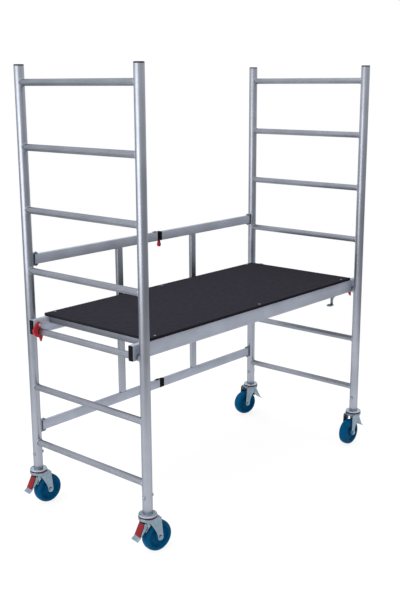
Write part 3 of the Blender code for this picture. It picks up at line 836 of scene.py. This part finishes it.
class PLATFORM_OT_uprights(bpy.types.Operator):
    """Make the round uprights and the plugs in their tops"""
    bl_idname = "platform.uprights"
    bl_label = "Uprights"

    def execute(self, context):
        inner = UPRIGHT_R - context.scene.platform_ladder.wall
        head, stem = UPRIGHT_R - FIT, inner - FIT
        for corner in CORNERS:
            low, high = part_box("upright_" + corner)
            at = node_centre("upright_" + corner)
            centre = (at.x, at.y, 0.0)
            wall = [(UPRIGHT_R, high.z), (UPRIGHT_R, low.z), (inner, low.z), (inner, high.z)]
            tube = turned(filleted(wall, radius=0.0005, steps=2), sides=96, centre=centre)
            piece("upright_tube_" + corner, tube, "aluminium_tube", "frame", "upright_" + corner)
            bottom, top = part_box("top_plug_" + corner)
            seat = high.z + FIT
            plug = [(0.0, top.z), (head, top.z), (head, seat), (stem, seat), (stem, bottom.z),
                    (0.0, bottom.z)]
            cap = turned(filleted(plug, radius=0.0022, steps=5, closed=False), sides=72, centre=centre)
            piece("upright_plug_" + corner, cap, "black", "frame", "top_plug_" + corner)
        return {"FINISHED"}


class PLATFORM_OT_rungs(bpy.types.Operator):
    """Make the ribbed rungs and the weld beads round their ends"""
    bl_idname = "platform.rungs"
    bl_label = "Rungs"

    def execute(self, context):
        settings = context.scene.platform_ladder
        ribs = {"Rib Depth": settings.rib_depth, "Ribs": settings.rib_count}
        rungs = rung_tree().run({**ladder_values("aluminium_rung"), **ribs})
        nodes = [f"rung_{side}_{k}" for side in SIDES for k in range(1, RUNGS + 1)]
        piece("ribbed_rungs", rungs, "aluminium_rung", "frame", *nodes)
        beads = bead_tree().run({**ladder_values("weld"), "Bead": settings.bead})
        piece("rung_welds", beads, "weld", "frame")
        return {"FINISHED"}


class PLATFORM_OT_foot_bolts(bpy.types.Operator):
    """Make the domed bolts through the feet of the uprights"""
    bl_idname = "platform.foot_bolts"
    bl_label = "Foot bolts"

    def execute(self, context):
        settings = context.scene.platform_ladder
        seat = UPRIGHT_R - 0.0010
        nut = softened(rod(settings.bolt_nut, low=0.0, high=0.0092, sides=6), "bolt nut")
        tip = rod(0.0038, low=0.0080, high=0.0112, chamfer=0.0006, sides=24)
        washer = rod(settings.bolt_head, low=-0.0006, high=0.0016, chamfer=0.0003, sides=48)
        head = domed_head(settings.bolt_head, height=0.0052)
        ends = (("heads", -1, head), ("nuts", 1, united(nut, tip, washer)))
        for name, side, shape in ends:
            points = []
            for corner in CORNERS:
                at = node_centre("upright_" + corner)
                points.append(((at.x + side * seat, at.y, settings.bolt_height), (side, 0.0, 0.0)))
            fasteners("foot_bolt_" + name, shape, "zinc", "frame", points)
        return {"FINISHED"}


class PLATFORM_OT_caster_flanges(bpy.types.Operator):
    """Make the caster stems with their dished flanges and the red dust rings"""
    bl_idname = "platform.caster_flanges"
    bl_label = "Caster flanges"

    def execute(self, context):
        settings = context.scene.platform_caster
        rim = settings.flange_radius
        stem = UPRIGHT_R - context.scene.platform_ladder.wall - FIT
        low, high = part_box("caster_socket_front_left")
        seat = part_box("upright_front_left")[0].z - FIT
        bore, bore_top = settings.kingpin + FIT, PIN_TOP + 0.0005
        floor = seat - 0.0014
        dish = [(0.0, high.z), (stem, high.z), (stem, seat), (0.0208, seat), (0.0222, floor), (0.0290, floor),
                (0.0322, seat + 0.0016), (0.0342, seat + 0.0034), (rim, seat + 0.0024), (rim, seat - 0.0020),
                (0.031, seat - 0.0030), (0.028, low.z), (bore, low.z), (bore, bore_top), (0.0, bore_top)]
        ring = [(0.0312, CROWN_TOP + 0.0002), (0.0366, CROWN_TOP - 0.0014), (0.0376, CROWN_TOP - 0.0008),
                (0.0378, CROWN_TOP + 0.0016), (0.0368, seat - 0.0028), (0.0312, seat - 0.0034)]
        edge = {"radius": 0.0008, "steps": 3}
        for corner in CORNERS:
            matrix, node = caster_matrix(corner), "caster_socket_" + corner
            # The flange takes the paler zinc, painted light
            flange = turned(filleted(dish, **edge, closed=False), sides=72)
            piece("caster_flange_" + corner, flange, "zinc_flange", "frame", node, matrix=matrix)
            dust_ring = turned(filleted(ring, **edge), sides=72)
            piece("dust_ring_" + corner, dust_ring, "ring", "caster_" + corner, matrix=matrix)
        return {"FINISHED"}


class PLATFORM_OT_caster_forks(bpy.types.Operator):
    """Make the pressed forks with crown, legs, pedal ears and axle"""
    bl_idname = "platform.caster_forks"
    bl_label = "Caster forks"

    def leg(self, settings, side):
        """One pressed leg: a wide top under the crown that narrows in a curve to the axle's eye."""
        outline = [(-0.024, 0.150), (0.036, 0.1535), (0.0455, 0.1465)]
        outline += arc((TRAIL, WHEEL_R), settings.eye, 5, -170, steps=20)
        outline += bent((0.0268, 0.068), (0.020, 0.098), (-0.0103, 0.137), steps=16)
        outline.append((-0.024, 0.1425))
        faces = sided(side, settings.fork_inside, settings.fork_inside + settings.fork_plate)
        return softened(prism(outline, *faces, "Y"), "fork leg")

    def ear(self, settings, side, slot):
        """One ear under the crown that holds the pedal's pivot."""
        radius, root, outside = 0.0055, settings.crown_bottom + 0.001, settings.fork_inside + 0.0005
        outline = arc(PEDAL_PIVOT, radius, 180, 360, steps=12)
        outline += [(PEDAL_PIVOT[0] + radius, root), (PEDAL_PIVOT[0] - radius, root)]
        return prism(outline, *sided(side, slot, outside), "Y")

    def execute(self, context):
        settings = context.scene.platform_caster
        rim, bottom, pin = settings.crown_radius, settings.crown_bottom, settings.kingpin
        crown = [(0.0, PIN_TOP), (pin, PIN_TOP), (pin, CROWN_TOP), (0.030, CROWN_TOP),
                 (rim - 0.0005, CROWN_TOP - 0.0021), (rim - 0.0003, bottom + 0.002), (rim - 0.005, bottom),
                 (0.0, bottom)]
        outside = settings.fork_inside + settings.fork_plate
        yoke_bottom, yoke_top = 0.1490, 0.1525
        axle_at = (TRAIL, 0.0, WHEEL_R)
        slot = settings.pedal_half + 0.0007
        pivot_r, pivot_reach = 0.003, slot + 0.002
        nut_r, nut_end = 0.0093, outside + 0.0059
        shapes = [softened(box((0.0, -outside, yoke_bottom), (TRAIL, outside, yoke_top)), "fork yoke")]
        shapes += [self.leg(settings, side) for side in (-1, 1)]
        shapes.append(rod(settings.axle, -outside, outside, "Y", axle_at))
        shapes += [self.ear(settings, side, slot) for side in (-1, 1)]
        shapes.append(rod(pivot_r, -pivot_reach, pivot_reach, "Y", spot("Y", 0.0, *PEDAL_PIVOT)))
        fork = united(turned(filleted(crown, radius=0.0016, closed=False), sides=72), *shapes)
        for corner in CORNERS:
            matrix, body, node = caster_matrix(corner), "caster_" + corner, "caster_fork_" + corner
            piece("caster_fork_plate_" + corner, fork.copy(), "zinc", body, node, matrix=matrix)
            for side, name in ((-1, "near"), (1, "far")):
                ends = sided(side, outside + TOUCH, nut_end)
                nut = softened(rod(nut_r, *ends, "Y", axle_at, sides=6), "axle nut")
                piece(f"axle_nut_{name}_{corner}", nut, "zinc", body, matrix=matrix)
        return {"FINISHED"}


class PLATFORM_OT_wheels(bpy.types.Operator):
    """Make the moulded wheels with their recessed sides and hubs"""
    bl_idname = "platform.wheels"
    bl_label = "Wheels"

    def execute(self, context):
        settings = context.scene.platform_caster
        half, hub, slope = settings.wheel_half, 0.0243, 0.0015
        floor = half - settings.wheel_dish
        tread = (0.0500, half)
        side = [(settings.axle + 0.0005, hub), (0.0135, hub), (0.0152, 0.0235), (0.0172, floor + slope),
                (0.0195, floor), (0.0385, floor), (0.0410, floor + slope), (0.0440, half - slope),
                (0.0462, half), tread]
        side += bent(tread, (0.0600, half), (WHEEL_R, 0.0060), steps=14)[1:]
        profile = side + [(radius, -along) for radius, along in reversed(side)]
        for corner in CORNERS:
            matrix = caster_matrix(corner) @ Matrix.Translation((TRAIL, 0.0, WHEEL_R))
            wheel = turned(filleted(profile, radius=0.0007, steps=2), sides=112, axis="Y")
            body, node = "wheel_" + corner, "caster_wheel_" + corner
            piece("wheel_" + corner, wheel, "blue", body, node, matrix=matrix)
        return {"FINISHED"}


class PLATFORM_OT_pedals(bpy.types.Operator):
    """Make the brake pedals with their ribbed red covers, and the brake pads on their carriers"""
    bl_idname = "platform.pedals"
    bl_label = "Brake pedals"

    def cover(self, settings):
        """Ribbed slab on the pedal's outer face."""
        top, bend = Vector((-0.0272, 0.1304)), Vector((-0.0512, 0.0845))
        along = (bend - top).normalized()
        out = Vector((along.y, -along.x))
        gap = out * 0.0002
        margin, ribbed, groove = 0.03, 0.94, 0.78
        run, count, thick = (bend - top).length, settings.cover_ribs, settings.cover_thick
        outline = [top + gap]
        for k in range(count):
            start = run * (margin + ribbed * k / count)
            end = run * (margin + ribbed * (k + 1) / count)
            for share, height in ((0.0, groove), (0.30, 1.0), (0.70, 1.0), (1.0, groove)):
                outline.append(top + along * (start + (end - start) * share) + out * thick * height)
        outline.append(bend + gap)
        return softened(prism(outline, -settings.cover_half, settings.cover_half, "Y"), "pedal cover")

    def lip(self, settings):
        """Black lip between the cover and the crown."""
        outline = [(-0.0242, 0.1366), (-0.0270, 0.1313), (-0.0291, 0.1324), (-0.0285, 0.1345),
                   (-0.0263, 0.1377)]
        return softened(prism(outline, -settings.cover_half, settings.cover_half, "Y"), "pedal lip")

    def carrier(self, settings):
        """Bent channel under the crown that ends in a curved foot over the tread."""
        axle = (TRAIL, WHEEL_R)
        half, wall, top = 0.0175, 0.0025, settings.crown_bottom - TOUCH
        face, back = -0.0098, -0.0010
        heel, instep, toe = 126.0, 135.6, 150.0
        under, over, cheek_end = 0.0695, 0.0717, 0.0700
        cheek = [(face, top), (back, top)] + arc(axle, cheek_end, heel, instep, steps=6)
        web = [(face, top), (face + wall, top), (face + wall, 0.1125), (face, 0.1110)]
        foot = arc(axle, under, heel, toe, steps=12) + arc(axle, over, toe, heel, steps=12)
        cheeks = [prism(cheek, *sided(side, half - wall, half), "Y") for side in (1, -1)]
        return united(prism(web, -half, half, "Y"), prism(foot, -half, half, "Y"), *cheeks)

    def pad(self):
        """Curved brake pad just off the tread."""
        axle, half = (TRAIL, WHEEL_R), 0.0165
        heel, toe = 127.0, 149.0
        under, over = 0.0645, 0.0694
        outline = arc(axle, under, heel, toe, steps=12) + arc(axle, over, toe, heel, steps=12)
        return softened(prism(outline, -half, half, "Y"), "brake pad")

    def execute(self, context):
        settings = context.scene.platform_caster
        parts = (("pedal_cover_", self.cover(settings), "red_cover", "pedal_"),
                 # Black strip under the crown, painted shade
                 ("pedal_lip_", self.lip(settings), "black", "pedal_"),
                 # The carriers take the paler zinc, painted light for their bright face
                 ("brake_carrier_", self.carrier(settings), "zinc_flange", "caster_"),
                 ("brake_pad_", self.pad(), "black", "caster_"))
        for corner in CORNERS:
            lever = softened(node_copy("brake_pedal_" + corner), "pedal lever")
            piece("pedal_lever_" + corner, lever, "zinc", "pedal_" + corner, "brake_pedal_" + corner)
            for name, shape, finish, body in parts:
                piece(name + corner, shape.copy(), finish, body + corner, matrix=caster_matrix(corner))
        return {"FINISHED"}


class PLATFORM_OT_gate(bpy.types.Operator):
    """Make the gate's rails with their end plugs and hinge pins, and the posts"""
    bl_idname = "platform.gate"
    bl_label = "Gate"

    def rail(self, settings, side, level):
        """One rail with the black plug on the end that sits in the clevis, and its hinge pins."""
        node, body, outward = f"gate_rail_{side}_{level}", "gate_" + side, SIDES[side]
        low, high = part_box(node)
        middle = node_centre(node).z
        bottom, top = middle - RAIL_HALF, middle + RAIL_HALF
        bar = box((low.x, low.y, bottom), (high.x, high.y, top))
        piece(f"gate_bar_{side}_{level}", softened(bar, "gate rail"), "aluminium_bar", body, node)
        end = low.x if side == "left" else high.x
        faces = sorted((end + outward * TOUCH, end + outward * settings.plug))
        # Black plug on the rail's end, partly painted shade for the dark slot inside the clevis
        plug = prism(rectangle((low.y, bottom), (high.y, top)), *faces, "X")
        piece(f"rail_plug_{side}_{level}", softened(plug, "rail plug and shade"), "black", body)
        pin_r, pin_at = 0.004, (-outward * joint_spot("gate_fold").x, HALF_Y, 0.0)
        for start, stop, name in ((top, high.z, "upper"), (low.z, bottom, "lower")):
            pin = rod(pin_r, start, stop, centre=pin_at, chamfer=0.0008)
            piece(f"gate_pin_{name}_{side}_{level}", pin, "zinc", body)

    def execute(self, context):
        settings = context.scene.platform_gate
        for side in SIDES:
            for level in LEVELS:
                self.rail(settings, side, level)
            node = "gate_post_" + side
            at = node_centre(node)
            reach = Vector((settings.post_wide, settings.post_deep, node_size(node).z)) / 2
            post = softened(box(at - reach, at + reach), "gate post")
            piece("gate_upright_" + side, post, "aluminium_post", "gate_" + side, node)
        return {"FINISHED"}


class PLATFORM_OT_hinges(bpy.types.Operator):
    """Make the hinge clevises on the uprights and the black hinge ends in the middle of the gate"""
    bl_idname = "platform.hinges"
    bl_label = "Hinges"

    def strap(self, settings, level):
        """Thin black strap from the hinge fork over the top of the left-hand rail."""
        rail_low, rail_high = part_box("gate_rail_left_" + level)
        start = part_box("hinge_fork_" + level)[0].x - TOUCH
        top = node_centre("gate_rail_left_" + level).z + RAIL_HALF + TOUCH
        end, thick = start - settings.strap, settings.strap_thick
        outline = [(end, top), (start, top), (start, top + thick), ((start + end) / 2, top + thick),
                   (end, top + thick / 2)]
        return softened(prism(outline, rail_low.y + INSET, rail_high.y - INSET, "Y"), "hinge strap")

    def execute(self, context):
        for level in LEVELS:
            strap = self.strap(context.scene.platform_gate, level)
            piece("knuckle_strap_" + level, strap, "black", "gate_left")
            for side in SIDES:
                node = f"hinge_bracket_{side}_{level}"
                # The clevis takes the darkened zinc, painted shade for the inside of its channel
                clevis = softened(node_copy(node), "clevis")
                piece(f"clevis_{side}_{level}", clevis, "aluminium_clevis", "frame", node)
            for part, body in (("fork", "gate_left"), ("tongue", "gate_right")):
                node = f"hinge_{part}_{level}"
                piece(f"knuckle_{part}_{level}", softened(node_copy(node), "knuckle"), "black", body, node)
        return {"FINISHED"}


class PLATFORM_OT_latch(bpy.types.Operator):
    """Make the red pull knob under the gate's top hinge"""
    bl_idname = "platform.latch"
    bl_label = "Latch knob"

    def execute(self, context):
        low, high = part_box("latch_knob")
        at = node_centre("latch_knob")
        top = node_centre("gate_rail_left_top").z - RAIL_HALF - INSET
        pin, neck, chamfer = 0.003, 0.0060, 0.0004
        widest, bulge = (high.x - low.x) / 2, top - 0.0175
        profile = [(0.0, high.z), (0.0026, high.z), (pin, high.z - chamfer), (pin, top + 0.0002),
                   (0.0054, top), (neck, top - 0.001)]
        profile += bent((neck, top - 0.002), (0.0078, top - 0.008), (widest, bulge), steps=8)
        profile += bent((widest, bulge), (widest, low.z), (0.0, low.z), steps=10)[1:]
        piece("latch_grip", turned(profile, centre=(at.x, at.y, 0.0)), "red", "latch", "latch_knob")
        return {"FINISHED"}


class PLATFORM_OT_board(bpy.types.Operator):
    """Make the deck board and its screws"""
    bl_idname = "platform.board"
    bl_label = "Deck board"

    def execute(self, context):
        settings = context.scene.platform_deck
        low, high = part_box("deck_board")
        piece("deck_panel", softened(box(low, high), "board"), "board", "frame", "deck_board")
        middle, seat = 0.0025, high.z - 0.0006
        places = [(middle + step * settings.screw_x, row * settings.screw_y, seat)
                  for step in (-1, 0, 1) for row in (-1, 1)]
        head = domed_head(settings.screw, height=0.0012, recess=0.0018)
        fasteners("board_screws", head, "zinc", "frame", [(place, UP) for place in places])
        return {"FINISHED"}


class PLATFORM_OT_beams(bpy.types.Operator):
    """Make the deck beams with their rung claws, end plugs, cross members and stow hook"""
    bl_idname = "platform.beams"
    bl_label = "Deck beams"

    def outline(self, half, low, high, rounding):
        """Side view of a beam, with a claw over the rung near each end."""
        notch = RUNG_R + INSET
        run = arc((half - rounding, high - rounding), rounding, 90, 0, steps=6)
        run += arc((half - rounding, low + rounding), rounding, 0, -90, steps=6)
        run.append((HALF_X + notch, low))
        run += arc((HALF_X, DECK_RUNG), notch, 0, 180, steps=32)
        run.append((HALF_X - notch, low))
        return run + [(-x, z) for x, z in reversed(run)]

    def stud(self, lock, face):
        """Neck and head of the stud that carries a lock."""
        pivot = joint_spot(f"lock_{lock}_swing")
        inward = -1 if face > 0 else 1
        at = (pivot.x, 0.0, pivot.z)
        neck_r, root, neck_end = 0.004, -0.001, 0.0089
        head_r, head_start, head_end = 0.007, 0.0086, 0.0106
        neck = sorted((face + inward * root, face + inward * neck_end))
        head = sorted((face + inward * head_start, face + inward * head_end))
        return (rod(neck_r, *neck, "Y", at), rod(head_r, *head, "Y", at, chamfer=0.0006))

    def hook(self, settings, top, middle):
        """Bent strip with a fixing tab, a narrow leg and a wide foot."""
        plate, x = settings.hook_plate, settings.hook_x
        leg_half, foot_half, foot_thick = 0.006, 0.0105, plate * 1.4
        back, tab = x + plate, x + settings.hook_tab
        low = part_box("deck_beam_front")[0].z
        ankle = low + 0.001
        strip = [(x, top), (x, ankle), (back, ankle), (back, top - 3 * plate), (x + 2 * plate, top - plate),
                 (tab, top - plate), (tab, top)]
        leg = softened(prism(strip, middle - leg_half, middle + leg_half, "Y"), "hook leg")
        plan = rectangle((x - settings.hook_foot, middle - foot_half), (back, middle + foot_half))
        plan = filleted(plan, radius=0.004, steps=5)
        foot = softened(prism(plan, low, low + foot_thick), "hook foot")
        piece("stow_hook", united(foot, leg), "zinc", "frame")

    def execute(self, context):
        settings = context.scene.platform_deck
        low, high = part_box("deck_beam_back")
        half = high.x
        width = high.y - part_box("deck_cross_member_left")[1].y - FIT
        outline = self.outline(half, low.z, high.z, settings.end_radius)
        middle, tall, wide = (high.z + low.z) / 2, (high.z - low.z) / 2 - INSET, width / 2 - INSET
        for name, side in (("front", -1), ("back", 1)):
            outer, inner = side * high.y, side * (high.y - width)
            bar = softened(prism(outline, *sorted((inner, outer)), "Y"), "beam")
            beam = united(bar, *self.stud(name, inner))
            piece("beam_" + name, beam, "aluminium_bar", "frame", "deck_beam_" + name)
            centre = (outer + inner) / 2
            section = rectangle((centre - wide, middle - tall), (centre + wide, middle + tall))
            section = filleted(section, radius=0.003, steps=5)
            for label, end in SIDES.items():
                faces = sided(end, half + TOUCH, half + settings.plug)
                plug = softened(prism(section, *faces, "X"), "beam plug")
                piece(f"beam_plug_{name}_{label}", plug, "black", "frame")
        for side in SIDES:
            node = "deck_cross_member_" + side
            # The cross bars take a darkened aluminium: painted shade under the board
            bar = softened(box(*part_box(node)), "cross bar")
            piece("cross_bar_" + side, bar, "aluminium_cross", "frame", node)
        self.hook(settings, low.z - TOUCH, -(high.y - width / 2))
        return {"FINISHED"}


class PLATFORM_OT_locks(bpy.types.Operator):
    """Make the red swinging locks that keep the deck on its rungs"""
    bl_idname = "platform.locks"
    bl_label = "Deck locks"

    def execute(self, context):
        for lock in ("back", "front"):
            node = "deck_lock_" + lock
            piece("lock_plate_" + lock, softened(node_copy(node), "lock"), "red", "lock_" + lock, node)
        return {"FINISHED"}


class PLATFORM_OT_stage(bpy.types.Operator):
    """Make the floor, the lamps, the world and the camera"""
    bl_idname = "platform.stage"
    bl_label = "Stage"

    def floor(self, size):
        """A pale floor that takes the shadow near the object and blends into the studio further out."""
        half, height = size / 2, -0.0002
        pale, shadow, near_glow = 0.86, 0.26, 0.84
        corners = [(x, y, height) for x, y in rectangle((-half, -half), (half, half))]
        mesh = bpy.data.meshes.new("floor")
        mesh.from_pydata(corners, [], [(0, 1, 2, 3)])
        shader = Shader("pale_floor", grey(pale)[:3], roughness=0.9)
        shader.paint("Specular IOR Level", 0.0)
        shader.paint("Emission Color", grey(1.0))
        seen, where = shader.seen(), shader.place()
        heading = shader.first("ShaderNodeVectorMath", {0: where}, operation="NORMALIZE")
        reach = shader.add("ShaderNodeVectorMath", {0: where}, operation="LENGTH").outputs["Value"]
        far = shader.fit(reach, span=(1.35, 2.8), levels=(0.0, 1.0), ease=SOFT)
        glow = shader.mix(far, near_glow, shader.studio(heading))
        shader.paint("Emission Strength", shader.math("MULTIPLY", seen, glow))
        shade = shader.mix(far, grey(shadow), grey(0.0), data_type="RGBA")
        shader.paint("Base Color", shader.mix(seen, grey(pale), shade, data_type="RGBA"))
        mesh.materials.append(shader.material)
        obj = linked("floor", mesh)
        obj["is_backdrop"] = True

    def world(self, scene):
        """The studio where it is seen, directly or in metal; as light, a soft sky that fades to one side."""
        world = bpy.data.worlds.new("studio")
        world.use_nodes = True
        scene.world = world
        nodes = Nodes(world.node_tree)
        where = nodes.add("ShaderNodeTexCoord").outputs["Generated"]
        lit = nodes.facing(where, LIT_SIDE)
        light = nodes.fit(lit, span=(-0.75, 0.75), levels=(0.30, 0.95), ease=SOFT)
        back = nodes.tree.nodes["Background"].inputs
        nodes.feed(nodes.mix(nodes.seen(), light, nodes.studio(where)), back["Strength"])
        nodes.feed(grey(1.0), back["Color"])

    def lamp(self, name, place, aim, size, power):
        """A soft rectangular lamp that the camera doesn't see."""
        data = bpy.data.lights.new(name, "AREA")
        data.shape = "RECTANGLE"
        data.size, data.size_y = size
        data.energy = power
        obj = linked(name, data)
        obj.location = place
        obj.rotation_euler = (Vector(aim) - Vector(place)).to_track_quat("-Z", "Y").to_euler()
        obj.visible_camera = False

    def camera(self, scene, settings):
        """The scene's camera, turned by its heading, tilt and roll."""
        data = bpy.data.cameras.new("camera")
        data.lens = settings.lens
        data.sensor_width = 36.0
        camera = linked("camera", data)
        heading = Matrix.Rotation(settings.azimuth, 4, "Z")
        pitch = Matrix.Rotation(math.pi / 2 - settings.tilt, 4, "X")
        roll = Matrix.Rotation(settings.roll, 4, "Z")
        camera.matrix_world = Matrix.Translation(settings.camera_at) @ (heading @ pitch) @ roll
        scene.camera = camera

    def execute(self, context):
        scene = context.scene
        settings = scene.platform_stage
        scene.view_settings.view_transform = "Standard"
        self.floor(settings.floor_size)
        self.world(scene)
        power = settings.key_power
        self.lamp("key", place=(-3.7, 0.2, 1.55), aim=(0.0, 0.0, 1.3), size=(3.1, 2.5), power=power)
        self.lamp("top", place=(0.2, -0.4, 4.2), aim=(0.0, 0.0, 0.8), size=(3.0, 3.0), power=power * 0.5)
        self.camera(scene, settings)
        return {"FINISHED"}


class PLATFORM_PT_panel(bpy.types.Panel):
    """Buttons and sizes of the work platform"""
    bl_idname = "PLATFORM_PT_panel"
    bl_label = "Work Platform"
    bl_space_type = "VIEW_3D"
    bl_region_type = "UI"
    bl_category = "Platform"

    def draw(self, context):
        layout = self.layout
        for operator in OPERATORS:
            layout.operator(operator.bl_idname)
        for name, group in SETTINGS.items():
            column = layout.column(heading=group.__doc__)
            for key in group.__annotations__:
                column.prop(getattr(context.scene, name), key)


OPERATORS = (
    PLATFORM_OT_stage,
    PLATFORM_OT_uprights,
    PLATFORM_OT_rungs,
    PLATFORM_OT_foot_bolts,
    PLATFORM_OT_caster_flanges,
    PLATFORM_OT_caster_forks,
    PLATFORM_OT_wheels,
    PLATFORM_OT_pedals,
    PLATFORM_OT_gate,
    PLATFORM_OT_hinges,
    PLATFORM_OT_latch,
    PLATFORM_OT_board,
    PLATFORM_OT_beams,
    PLATFORM_OT_locks,
)


def register():
    for group in SETTINGS.values():
        bpy.utils.register_class(group)
    for name, group in SETTINGS.items():
        setattr(bpy.types.Scene, name, PointerProperty(type=group))
    for operator in OPERATORS:
        bpy.utils.register_class(operator)
    bpy.utils.register_class(PLATFORM_PT_panel)


def unregister():
    bpy.utils.unregister_class(PLATFORM_PT_panel)
    for operator in reversed(OPERATORS):
        bpy.utils.unregister_class(operator)
    for name, group in SETTINGS.items():
        delattr(bpy.types.Scene, name)
        bpy.utils.unregister_class(group)


def main():
    register()
    make_finishes(bpy.context.scene.platform_finish)
    for operator in OPERATORS:
        area, action = operator.bl_idname.split(".")
        getattr(getattr(bpy.ops, area), action)()
    lines = [[list(corner) for corner in box_corners] for box_corners in (CAD_BOX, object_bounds())]
    for line in lines:
        json.dumps(line) + "\n"


if __name__ == "__main__":
    main()
